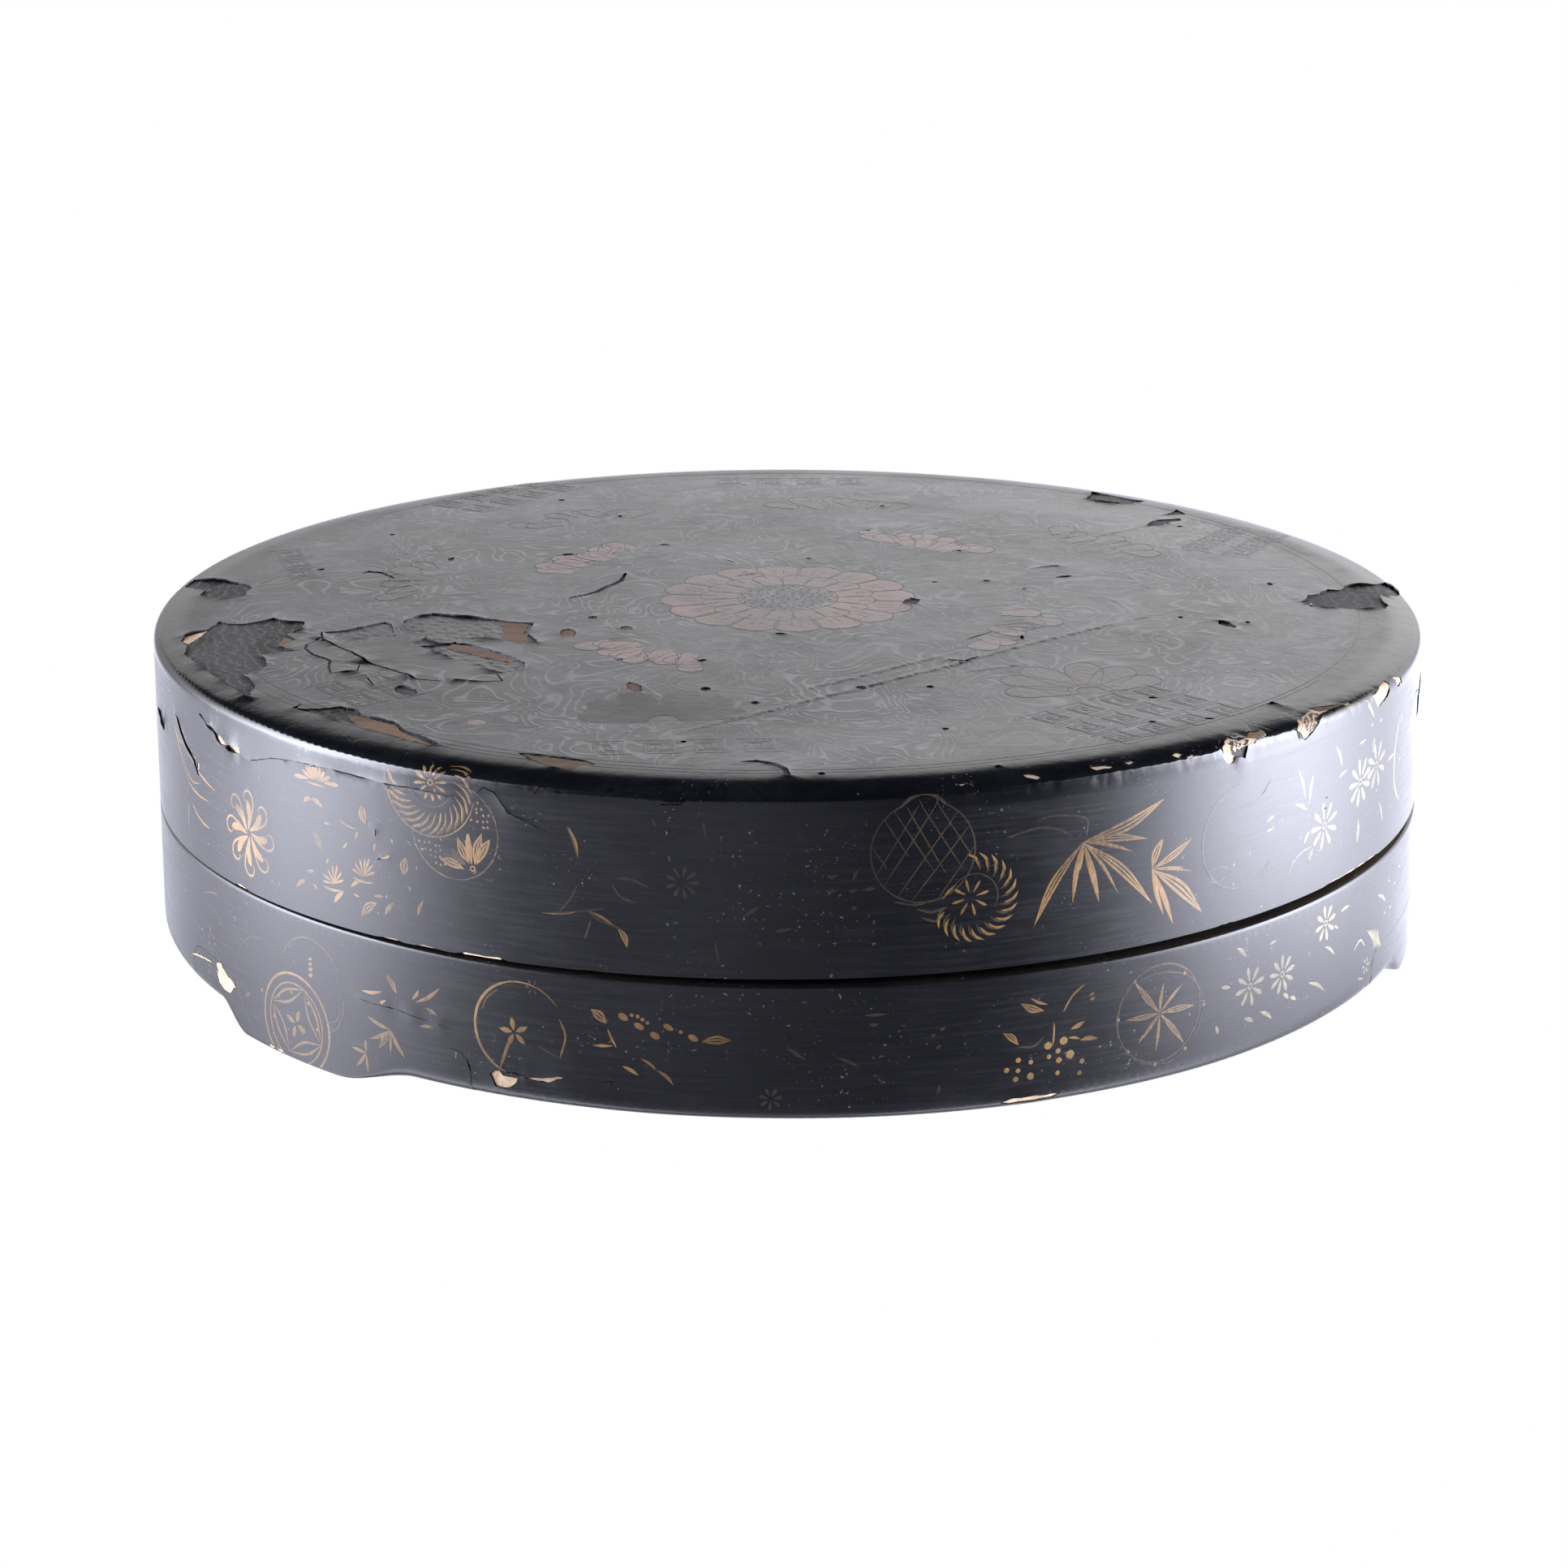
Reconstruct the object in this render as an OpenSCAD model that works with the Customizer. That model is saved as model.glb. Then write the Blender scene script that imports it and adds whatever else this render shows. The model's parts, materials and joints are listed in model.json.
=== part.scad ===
// A large, shallow, round lacquered box: a lift-off lid over a base on three bracket feet.
// The origin lies on the floor below the middle of the box, +Z points up and the front faces -Y.
// The box is made of boards and bent wooden hoops under cloth, ground and lacquer.

/* [Box] */
// Outside diameter over the lacquer
box_d = 380; // [320:5:440]
// Height of the base wall, without its feet
base_h = 39; // [34:1:60]
// Height of the lid, from its lowest edge to the top of its crown
lid_h = 54.5; // [46:0.5:80]
// Depth of the feet below the wall
foot_drop = 5; // [3:0.5:9]

/* [Lid shape] */
// Rise of the crown from the soft rim zone to the middle of the lid
crown_rise = 1.6; // [0.8:0.1:3]
// Width of the soft rim zone where the top starts to fall
rim_zone_w = 22; // [16:1:30]
// Radius of the soft rim zone
rim_zone_r = 90; // [70:5:140]
// Radius of the lid's upper edge
shoulder_r = 6; // [4:0.5:8]
// Radius of the base wall's lower edge
heel_r = 4.3; // [3:0.1:6]
// Slant of the lid's lower edge, which has warped
rim_slant = 0.3; // [0:0.05:0.5]
// Direction in which the lid's lower edge stands highest
rim_slant_dir = 330; // [0:5:360]

/* [Coats] */
// Thickness of the outer lacquer
lacquer_t = 0.5; // [0.3:0.1:0.8]
// Thickness of the ground under the lacquer
ground_t = 0.9; // [0.5:0.1:1.2]
// Thickness of the cloth on the wood
cloth_t = 0.7; // [0.4:0.1:1]
// Thickness of the lacquer inside the box
lining_t = 0.5; // [0.3:0.1:0.8]

/* [Wood] */
// Thickness of the lid's hoop
hoop_t = 6; // [4.5:0.5:8]
// Thickness of the inner hoop whose rising edge locates the lid
lip_t = 3.5; // [2.5:0.5:5]
// Thickness of the lid's boards
top_board_t = 9; // [8:0.5:14]
// Depth of the lid boards' middle inside the hoop
rebate_h = 4; // [3:0.5:5]
// Thickness of the floor's boards
floor_board_t = 8; // [7:0.5:12]
// Width of the two middle boards of the lid
top_board_w = 81; // [70:1:95]
// Distance of the lid's middle joint from the middle of the lid
top_joint_shift = -3; // [-10:1:10]
// Direction of the lid boards' grain
top_grain_dir = 41; // [0:1:180]
// Width of the floor's middle board
floor_board_w = 124; // [100:2:150]

/* [Fits] */
// Rise of the inner hoop above the base's rim
lip_rise = 12; // [8:1:18]
// Clearance between the inner hoop and the inside of the lid
lip_clear = 0.8; // [0.5:0.1:1.5]
// Gap between rim and lid where the lid sits lowest
seat_gap = 0.3; // [0.2:0.05:0.6]

/* [Feet] */
// Thickness of a foot, from the wall's outside inwards
foot_t = 6; // [5:0.5:7]
// Length of a foot's block, measured straight
foot_len = 124; // [110:2:140]
// Height of a foot's block above the wall's lower edge
foot_rise = 12.5; // [11:0.5:16]
// Radius of the block's upper corners
foot_corner_r = 6; // [3:0.5:8]
// Length of the flat that stands on the floor
foot_pad = 42; // [30:2:50]
// Length of the steep S curve at one end
foot_curve_short = 17; // [12:1:22]
// Length of the slow S curve at the other end
foot_curve_long = 28; // [20:1:30]
// Direction of the front left foot
foot_front_left_dir = 224.3; // [219:0.1:229]
// Direction of the right foot
foot_right_dir = 351.5; // [346:0.1:356]
// Direction of the back foot
foot_back_dir = 108; // [103:1:113]

/* [Pegs] */
// Diameter of the pegs in the boards' joints and in the feet
board_peg_d = 3; // [2:0.5:3.5]
// Length of the pegs in the boards' joints
board_peg_len = 24; // [16:1:32]
// Diameter of the pegs through the hoops
hoop_peg_d = 2.5; // [1.5:0.5:2.5]
// Depth of the pegs in the boards, measured from the hoop's inside
peg_depth = 9; // [6:1:14]
// Wood left over the outer ends of the pegs in the hoops
hoop_peg_cover = 1; // [0.5:0.5:2]
// Number of pegs through the lid's hoop into each outer board
outer_board_pegs = 4; // [2:1:5]
// Angle between two pegs of one bay of the base
bay_peg_step = 20; // [12:1:22]
// Distance between the two pegs of a foot, measured straight
foot_peg_gap = 64; // [40:2:80]
// Wood left over the outer ends of the pegs in a foot
foot_peg_cover = 2; // [1:0.5:3]

/* [Hidden] */
$fn = 180;
arc_steps = 6;
curve_steps = 8;

// Radii from the outside inwards
box_r = box_d / 2;
coat_t = lacquer_t + ground_t + cloth_t;
wood_r = box_r - coat_t;
hoop_in_r = wood_r - hoop_t;
lid_in_r = hoop_in_r - lining_t;
lip_r = lid_in_r - lip_clear - lining_t;
lip_in_r = lip_r - lip_t;
foot_in_r = box_r - foot_t;
peg_out_r = wood_r - hoop_peg_cover;

// Heights from the floor upwards
wall_z = foot_drop;
floor_z = wall_z + coat_t;
floor_top_z = floor_z + floor_board_t;
rim_z = wall_z + base_h;
lip_top_z = rim_z + lip_rise;
lid_low_z = rim_z + seat_gap;
lid_top_z = lid_low_z + lid_h;
top_under_z = lid_top_z - crown_rise - coat_t - top_board_t;
hoop_top_z = top_under_z + rebate_h;

// Arcs of the lid's upper outline: crown, soft rim zone and upper edge, each tangent to the next
crown_x = box_r - rim_zone_w;
crown_r = (crown_x * crown_x + crown_rise * crown_rise) / (2 * crown_rise);
crown_end = asin(crown_x / crown_r);
crown_c = [0, lid_top_z - crown_r];
zone_c = crown_c + (crown_r - rim_zone_r) * [sin(crown_end), cos(crown_end)];
zone_end = asin((box_r - shoulder_r - zone_c.x) / (rim_zone_r - shoulder_r));
shoulder_c = zone_c + (rim_zone_r - shoulder_r) * [sin(zone_end), cos(zone_end)];

// Boards
top_joints = [for (k = [-1:1]) top_joint_shift + k * top_board_w];
floor_joints = [-floor_board_w / 2, floor_board_w / 2];

// Feet
foot_dirs = [foot_front_left_dir, foot_right_dir, foot_back_dir];
foot_curve_top = wall_z + 0.4 * heel_r;
foot_total = foot_curve_short + foot_pad + foot_curve_long;
foot_peg_z = floor_z + floor_board_t / 2;
past = 1;

// Points on an arc about c, with angles measured from straight up towards the outside
function arc(c, r, from, to, steps) =
  [for (k = [0:steps]) let (a = from + (to - from) * k / steps) c + r * [sin(a), cos(a)]];

// Points on an S curve that is level at both ends
function s_curve(from, to) =
  [for (k = [0:curve_steps]) let (t = k / curve_steps)
    [from.x + (to.x - from.x) * t, from.y + (to.y - from.y) * (1 - cos(180 * t)) / 2]];

// Directions in the middle of equal parts between two directions
function spread(from, to, count) = [for (k = [0:count - 1]) from + (to - from) * (k + 0.5) / count];

// Half section of the whole lid, drawn in by a given depth
module lid_section(in) {
  polygon(concat(
    [[0, lid_low_z - past]],
    arc(crown_c, crown_r - in, 0, crown_end, 3),
    arc(zone_c, rim_zone_r - in, crown_end, zone_end, arc_steps),
    arc(shoulder_c, shoulder_r - in, zone_end, 90, arc_steps),
    [[box_r - in, lid_low_z - past]]
  ));
}

// Half section of the whole base without its feet, drawn in by a given depth
module base_section(in) {
  heel_c = [box_r - heel_r, wall_z + heel_r];
  polygon(concat(
    [[0, rim_z - in], [box_r - in, rim_z - in]],
    arc(heel_c, heel_r - in, 90, 180, arc_steps),
    [[0, wall_z + in]]
  ));
}

// Everything below the lid's slanted lower edge
module below_lid_edge() {
  rise_mid = box_r * tan(rim_slant);
  translate([0, 0, lid_low_z + rise_mid])
    rotate([0, 0, rim_slant_dir])
      rotate([0, -rim_slant, 0])
        translate([-box_d, -box_d, -box_r])
          cube([2 * box_d, 2 * box_d, box_r]);
}

// One coat of the lid between two depths
module lid_coat(outer, inner) {
  difference() {
    rotate_extrude() difference() {
      lid_section(outer);
      lid_section(inner);
    }
    below_lid_edge();
  }
}

// One coat of the base between two depths, open for the inner hoop and cut out for the feet
module base_coat(outer, inner) {
  difference() {
    rotate_extrude() difference() {
      base_section(outer);
      base_section(inner);
      translate([-past, floor_z]) square([lip_r + past, base_h]);
    }
    foot_recesses();
  }
}

// A wide slab between two lines that run along the grain
module slab(from, to, grain_dir) {
  rotate([0, 0, grain_dir])
    translate([-box_d, from, 0])
      cube([2 * box_d, to - from, 2 * lid_top_z]);
}

// Pegs across the joints of a set of boards, two at each joint
module joint_pegs(joints, board_r, grain_dir, mid_z) {
  for (y = joints, side = [-1, 1]) {
    half_chord = sqrt(board_r * board_r - y * y);
    rotate([0, 0, grain_dir])
      translate([side * half_chord / 2, y - board_peg_len / 2, mid_z])
        rotate([-90, 0, 0])
          cylinder(h = board_peg_len, d = board_peg_d);
  }
}

// A peg that points outwards along a direction
module radial_peg(dir, from_r, to_r, z, d) {
  rotate([0, 0, dir])
    translate([from_r, 0, z])
      rotate([0, 90, 0])
        cylinder(h = to_r - from_r, d = d);
}

// All boards of the lid as one round top with a rebate for the hoop
module top_round() {
  rotate_extrude() intersection() {
    lid_section(coat_t);
    union() {
      translate([0, hoop_top_z]) square([box_r, top_board_t + crown_rise]);
      translate([0, top_under_z]) square([hoop_in_r, top_board_t]);
    }
  }
}

// One board of the lid between two joints
module top_board(from, to) {
  difference() {
    intersection() {
      top_round();
      slab(from, to, top_grain_dir);
    }
    lid_board_peg_set();
    lid_hoop_peg_set();
  }
}

module lid_board_peg_set() {
  joint_pegs(top_joints, hoop_in_r, top_grain_dir, (hoop_top_z + top_under_z + top_board_t) / 2);
}

// Pegs along the edge of each board, one at each end of the middle boards
module lid_hoop_peg_set() {
  meets = [for (y = top_joints) asin(y / hoop_in_r)];
  dirs = concat(
    [for (k = [0:1]) (meets[k] + meets[k + 1]) / 2],
    [for (k = [0:1]) 180 - (meets[k] + meets[k + 1]) / 2],
    spread(meets[2], 180 - meets[2], outer_board_pegs),
    spread(180 - meets[0], 360 + meets[0], outer_board_pegs)
  );
  for (dir = dirs)
    radial_peg(top_grain_dir + dir, hoop_in_r - peg_depth, peg_out_r, top_under_z + rebate_h / 2, hoop_peg_d);
}

module lid_board_front() {
  color("tan") top_board(-box_r, top_joints[0]);
}

module lid_board_mid_front() {
  color("burlywood") top_board(top_joints[0], top_joints[1]);
}

module lid_board_mid_back() {
  color("tan") top_board(top_joints[1], top_joints[2]);
}

module lid_board_back() {
  color("burlywood") top_board(top_joints[2], box_r);
}

module lid_board_pegs() {
  color("khaki") lid_board_peg_set();
}

module lid_hoop() {
  color("peru") difference() {
    rotate_extrude() intersection() {
      lid_section(coat_t);
      translate([hoop_in_r, lid_low_z - past]) square([hoop_t, hoop_top_z - lid_low_z + past]);
    }
    below_lid_edge();
    lid_hoop_peg_set();
  }
}

module lid_hoop_pegs() {
  color("khaki") lid_hoop_peg_set();
}

module lid_cloth() {
  color("darkkhaki") lid_coat(lacquer_t + ground_t, coat_t);
}

module lid_ground() {
  color("saddlebrown") lid_coat(lacquer_t, lacquer_t + ground_t);
}

module lid_lacquer() {
  color("black") lid_coat(0, lacquer_t);
}

module lid_lining() {
  color("dimgray") difference() {
    translate([0, 0, lid_low_z - past]) cylinder(h = top_under_z - lid_low_z + past, r = hoop_in_r);
    translate([0, 0, lid_low_z - 2 * past])
      cylinder(h = top_under_z - lining_t - lid_low_z + 2 * past, r = lid_in_r);
    below_lid_edge();
  }
}

// One board of the floor between two joints
module floor_board(from, to) {
  difference() {
    intersection() {
      translate([0, 0, floor_z]) cylinder(h = floor_board_t, r = lip_r);
      slab(from, to, 90);
    }
    base_board_peg_set();
    base_hoop_peg_set();
    foot_peg_set();
  }
}

module base_board_peg_set() {
  joint_pegs(floor_joints, lip_r, 90, foot_peg_z);
}

// Three pegs in the middle of each bay between two feet
module base_hoop_peg_set() {
  for (f = [0:2], k = [-1:1]) {
    next = foot_dirs[(f + 1) % 3];
    here = foot_dirs[f];
    bay = (next - here + 360) % 360;
    radial_peg(here + bay / 2 + k * bay_peg_step, lip_r - peg_depth, peg_out_r, foot_peg_z, hoop_peg_d);
  }
}

module base_board_left() {
  color("burlywood") floor_board(floor_joints[1], box_r);
}

module base_board_middle() {
  color("tan") floor_board(floor_joints[0], floor_joints[1]);
}

module base_board_right() {
  color("burlywood") floor_board(-box_r, floor_joints[0]);
}

module base_board_pegs() {
  color("khaki") base_board_peg_set();
}

module base_hoop() {
  color("peru") difference() {
    rotate_extrude() intersection() {
      base_section(coat_t);
      translate([lip_r, wall_z]) square([box_r - lip_r, base_h]);
    }
    foot_recesses();
    base_hoop_peg_set();
    foot_peg_set();
  }
}

module base_hoop_pegs() {
  color("khaki") base_hoop_peg_set();
}

module base_lip() {
  color("sienna") translate([0, 0, floor_top_z]) difference() {
    cylinder(h = lip_top_z - floor_top_z, r = lip_r);
    translate([0, 0, -past]) cylinder(h = lip_top_z - floor_top_z + 2 * past, r = lip_in_r);
  }
}

module base_cloth() {
  color("darkkhaki") base_coat(lacquer_t + ground_t, coat_t);
}

module base_ground() {
  color("saddlebrown") base_coat(lacquer_t, lacquer_t + ground_t);
}

module base_lacquer() {
  color("black") base_coat(0, lacquer_t);
}

// Lacquer on the floor, up the inner hoop, over its top and down its outside to the rim
module base_lining() {
  color("dimgray") rotate_extrude() difference() {
    union() {
      translate([0, floor_top_z]) square([lip_in_r, lip_top_z - floor_top_z]);
      translate([lip_in_r - lining_t, lip_top_z]) square([lip_t + 2 * lining_t, lining_t]);
      translate([lip_r, rim_z]) square([lining_t, lip_rise]);
    }
    translate([-past, floor_top_z + lining_t])
      square([lip_in_r - lining_t + past, lip_top_z - floor_top_z]);
  }
}

// Outline of a foot's block, seen from outside: the part let into the wall
module block_outline() {
  half = foot_len / 2;
  top = wall_z + foot_rise;
  polygon(concat(
    [[half, wall_z - past], [-half, wall_z - past]],
    arc([-half + foot_corner_r, top - foot_corner_r], foot_corner_r, -90, 0, arc_steps),
    arc([half - foot_corner_r, top - foot_corner_r], foot_corner_r, 0, 90, arc_steps)
  ));
}

// Outline of the part that drops to the floor between two S curves
module drop_outline() {
  left = -foot_total / 2;
  pad_left = left + foot_curve_short;
  pad_right = pad_left + foot_pad;
  right = pad_right + foot_curve_long;
  top = wall_z + foot_rise - foot_corner_r;
  polygon(concat(
    [[right, top], [left, top]],
    s_curve([left, foot_curve_top], [pad_left, 0]),
    s_curve([pad_right, 0], [right, foot_curve_top])
  ));
}

// An outline pushed outwards through the wall in the direction of a foot
module through_wall(dir) {
  rotate([0, 0, dir])
    translate([box_r / 2, 0, 0])
      rotate([90, 0, 90])
        linear_extrude(height = box_r)
          children();
}

// The ring in which the feet lie
module foot_ring(out_r) {
  difference() {
    translate([0, 0, -past]) cylinder(h = rim_z, r = out_r);
    translate([0, 0, -2 * past]) cylinder(h = rim_z + 2 * past, r = foot_in_r);
  }
}

// Room for one foot in the wall and its coats
module foot_recess(dir) {
  intersection() {
    foot_ring(box_r + past);
    union() {
      through_wall(dir) block_outline();
      through_wall(dir) drop_outline();
    }
  }
}

module foot_recesses() {
  for (dir = foot_dirs) foot_recess(dir);
}

module foot(dir) {
  difference() {
    intersection() {
      foot_ring(box_r);
      union() {
        intersection() {
          through_wall(dir) block_outline();
          rotate_extrude() base_section(0);
        }
        through_wall(dir) drop_outline();
      }
    }
    foot_peg_set();
  }
}

module foot_peg_set() {
  swing = asin(foot_peg_gap / 2 / box_r);
  for (dir = foot_dirs, side = [-1, 1])
    radial_peg(dir + side * swing, lip_r - peg_depth, box_r - foot_peg_cover, foot_peg_z, board_peg_d);
}

module foot_front_left() {
  color("gray") foot(foot_front_left_dir);
}

module foot_right() {
  color("gray") foot(foot_right_dir);
}

module foot_back() {
  color("gray") foot(foot_back_dir);
}

module foot_pegs() {
  color("khaki") foot_peg_set();
}

lid_board_front();
lid_board_mid_front();
lid_board_mid_back();
lid_board_back();
lid_board_pegs();
lid_hoop();
lid_hoop_pegs();
lid_cloth();
lid_ground();
lid_lacquer();
lid_lining();
base_board_left();
base_board_middle();
base_board_right();
base_board_pegs();
base_hoop();
base_hoop_pegs();
base_lip();
base_cloth();
base_ground();
base_lacquer();
base_lining();
foot_front_left();
foot_right();
foot_back();
foot_pegs();
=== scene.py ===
"""Looks of a round lacquered box: worn coats with losses, gold ornament, wood, feet and a light studio."""

import json
import logging
import math
from dataclasses import dataclass, field
from enum import Enum
from typing import Callable

import bpy
import numpy as np
from mathutils import Matrix, Vector
from mathutils.bvhtree import BVHTree
from mathutils.geometry import delaunay_2d_cdt
from mathutils.kdtree import KDTree


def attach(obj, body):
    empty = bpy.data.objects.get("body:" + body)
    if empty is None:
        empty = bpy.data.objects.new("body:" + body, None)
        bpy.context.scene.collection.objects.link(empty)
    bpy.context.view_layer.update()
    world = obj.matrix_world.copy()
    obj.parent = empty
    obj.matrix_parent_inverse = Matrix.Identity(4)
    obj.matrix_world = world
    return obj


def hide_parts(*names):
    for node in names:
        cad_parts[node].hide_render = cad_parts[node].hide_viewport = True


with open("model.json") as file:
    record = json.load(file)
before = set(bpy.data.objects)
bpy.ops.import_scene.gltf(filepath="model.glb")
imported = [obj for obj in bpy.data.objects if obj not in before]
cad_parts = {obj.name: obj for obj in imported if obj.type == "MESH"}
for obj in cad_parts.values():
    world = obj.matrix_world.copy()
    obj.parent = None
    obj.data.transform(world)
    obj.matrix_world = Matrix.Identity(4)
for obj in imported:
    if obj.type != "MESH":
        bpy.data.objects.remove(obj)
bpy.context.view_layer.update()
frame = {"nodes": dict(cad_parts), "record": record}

# A millimetre in metres, and how far outside the box a ray that looks for its surface starts.
MM = 0.001
RAY_GAP = 2.5
LOG = logging.getLogger("box")


class Coat(Enum):
    """Coats from the outside inwards, with the depth in millimetres at which each begins and ends."""

    LACQUER = (0.0, 0.5)
    GROUND = (0.5, 1.4)
    CLOTH = (1.4, 2.1)


@dataclass(frozen=True)
class Sizes:
    """Driving sizes of the box in millimetres.

    They are those of the CAD part, but for the lid's tighter edge, which follows the photograph.

    Attributes:
        box_r: Outer radius of lid and base.
        wall_z: Height of the base's lower edge above the floor.
        rim_z: Height of the base's rim.
        lid_low_z: Height of the lid's lower edge.
        lid_top_z: Height of the middle of the top.
        crown_rise: How far the top is crowned.
        rim_zone: Width and radius of the lid's rim zone and radius of its shoulder.
        even_rim_zone: The same as on the CAD part.
        heel_r: Radius of the base's lower edge.
        lip_r: Outer radius of the inner lip.
        foot_in_r: Inner radius of a foot.
        foot_half: Half the width of a foot.
        foot_rise: How far a foot rises above the base's lower edge.
        foot_corner_r: Radius of its upper corners.
        edge_slant: How far the lid's lower edge leans to each side.
        edge_dir: Direction in degrees in which that edge is highest.
    """

    box_r: float = 190.0
    wall_z: float = 5.0
    rim_z: float = 44.0
    lid_low_z: float = 44.3
    lid_top_z: float = 98.8
    crown_rise: float = 1.6
    rim_zone: tuple = (13.0, 50.0, 3.0)
    even_rim_zone: tuple = (22.0, 90.0, 6.0)
    heel_r: float = 4.3
    lip_r: float = 180.6
    foot_in_r: float = 184.0
    foot_half: float = 62.0
    foot_rise: float = 12.5
    foot_corner_r: float = 6.0
    edge_slant: float = 0.995
    edge_dir: float = 330.0


SIZES = Sizes()

# Eye, right, upward and forward directions of the photograph's camera, in millimetres.
EYE = np.array((0, -1237.2, 430.83))
RIGHT = np.array((0.99999721, 0.00143247, 0.00187623))
UPWARD = np.array((-0.00222076, 0.3014416, 0.95348205))
FORWARD = np.array((-0.00080026, 0.95348357, -0.30144394))

# The camera's focal length and the photograph's width in pixels, and the sensor's width in millimetres.
FOCAL_PIXELS = 5221.6
FRAME_PIXELS = 1932
SENSOR = 36

# How the old lid's rim is warped: middle angle, height and spread in degrees.
RIM_WARP = ((302, 2.0, 34), (95, -1.6, 60))


# Geometry helpers


def arc_rows(cx: float, cz: float, r: float, a0: float, a1: float, count: int) -> list[tuple]:
    """Points of an arc with outward normals.

    Args:
        cx: Radius of the centre.
        cz: Height of the centre.
        r: Radius of the arc.
        a0: First angle from straight up, in degrees.
        a1: Last angle.
        count: Number of points.

    Returns:
        Rows of radius, height and the two parts of the normal.
    """
    rows = []
    for a in np.radians(np.linspace(a0, a1, count)):
        rows.append((cx + r * math.sin(a), cz + r * math.cos(a), math.sin(a), math.cos(a)))
    return rows


class Outline:
    """Half section of the box's outside, followed by its length from the axis."""

    def __init__(self, rows: list[tuple], warped: bool = False) -> None:
        """Measures the length along the section.

        Args:
            rows: Radius, height and normal of points from the axis outwards.
            warped: Whether the rim is warped.
        """
        self.warped = warped
        data = np.array(rows)
        steps = np.hypot(np.diff(data[:, 0]), np.diff(data[:, 1]))
        keep = np.concatenate([[True], steps > 1e-6])
        self.data = data[keep]
        steps = np.hypot(np.diff(self.data[:, 0]), np.diff(self.data[:, 1]))
        self.s = np.concatenate([[0.0], np.cumsum(steps)])

    def at(self, s: np.ndarray) -> list[np.ndarray]:
        """Returns radius, height and normal at lengths s."""
        return [np.interp(s, self.s, self.data[:, k]) for k in range(4)]

    def wrap(self, flat: np.ndarray, lift: np.ndarray) -> np.ndarray:
        """Wraps chart points onto the box.

        Args:
            flat: Points of the chart, whose distance from its middle is the length s.
            lift: Height of each point above the outside.

        Returns:
            Points in metres in the row frame.
        """
        s = np.hypot(flat[:, 0], flat[:, 1])
        turn = np.arctan2(flat[:, 1], flat[:, 0])
        r, z, nr, nz = self.at(s)
        if self.warped:
            z = z + rim_rise(s, turn) * np.clip(3 * nz, 0, 1)
        r = r + nr * lift
        return np.column_stack([r * np.cos(turn), r * np.sin(turn), z + nz * lift]) * MM


def rim_rise(s: np.ndarray, turn: np.ndarray) -> np.ndarray:
    """Works out how far the warped rim of the lid stands up.

    Args:
        s: Chart lengths.
        turn: Angles in radians.

    Returns:
        Heights in millimetres.
    """
    rise = np.zeros(len(s))
    for middle, high, spread in RIM_WARP:
        off = (np.degrees(turn) - middle + 180) % 360 - 180
        rise += high * np.exp(-((off / spread) ** 2) / 2)
    share = np.clip((s - 125) / 60, 0, 1)
    return rise * share * share * (3 - 2 * share)


def lid_outline(rim_zone: tuple, warped: bool) -> Outline:
    """Draws the lid's outside: crown, soft rim zone, upper edge and wall.

    Args:
        rim_zone: Width and radius of the rim zone and radius of the shoulder.
        warped: Whether the rim is warped.

    Returns:
        The outline from the axis to below the lower edge.
    """
    k = SIZES
    zone_w, zone_r, shoulder_r = rim_zone
    crown_x = k.box_r - zone_w
    crown_r = (crown_x**2 + k.crown_rise**2) / (2 * k.crown_rise)
    crown_end = math.asin(crown_x / crown_r)
    cz = k.lid_top_z - crown_r
    zx = (crown_r - zone_r) * math.sin(crown_end)
    zz = cz + (crown_r - zone_r) * math.cos(crown_end)
    zone_end = math.asin((k.box_r - shoulder_r - zx) / (zone_r - shoulder_r))
    sx = zx + (zone_r - shoulder_r) * math.sin(zone_end)
    sz = zz + (zone_r - shoulder_r) * math.cos(zone_end)
    rows = arc_rows(0, cz, crown_r, 0, math.degrees(crown_end), 60)
    rows += arc_rows(zx, zz, zone_r, math.degrees(crown_end), math.degrees(zone_end), 24)
    rows += arc_rows(sx, sz, shoulder_r, math.degrees(zone_end), 90, 24)
    rows += [(k.box_r, z, 1.0, 0.0) for z in np.linspace(sz, k.lid_low_z - 1, 30)]
    return Outline(rows, warped)


def base_outline() -> Outline:
    """Draws the base's outside: underside, lower edge, wall and rim.

    Returns:
        The outline from the axis to the lip.
    """
    k = SIZES
    edge = 0.8
    rows = [(r, k.wall_z, 0.0, -1.0) for r in np.linspace(0, k.box_r - k.heel_r, 40)]
    rows += arc_rows(k.box_r - k.heel_r, k.wall_z + k.heel_r, k.heel_r, 180, 90, 16)
    rows += [(k.box_r, z, 1.0, 0.0) for z in np.linspace(k.wall_z + k.heel_r, k.rim_z - edge, 30)]
    rows += arc_rows(k.box_r - edge, k.rim_z - edge, edge, 90, 0, 8)
    rows += [(r, k.rim_z, 0.0, 1.0) for r in np.linspace(k.box_r - edge, k.lip_r, 8)]
    return Outline(rows)


def upright_outline() -> Outline:
    """Draws the outside of the feet, on which the chart length of the base's wall goes on to the floor.

    Returns:
        The outline from the floor to the rim.
    """
    k = SIZES
    heel = k.heel_r * (math.pi / 2) + k.box_r - k.heel_r
    low_s = heel - k.wall_z - k.heel_r
    rows = [(k.box_r, z, 1.0, 0.0) for z in np.linspace(0, k.rim_z, 60)]
    made = Outline(rows)
    made.s = made.s + low_s
    return made


LID = lid_outline(SIZES.rim_zone, True)
EVEN_LID = lid_outline(SIZES.even_rim_zone, False)
BASE = base_outline()
UPRIGHT = upright_outline()

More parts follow.
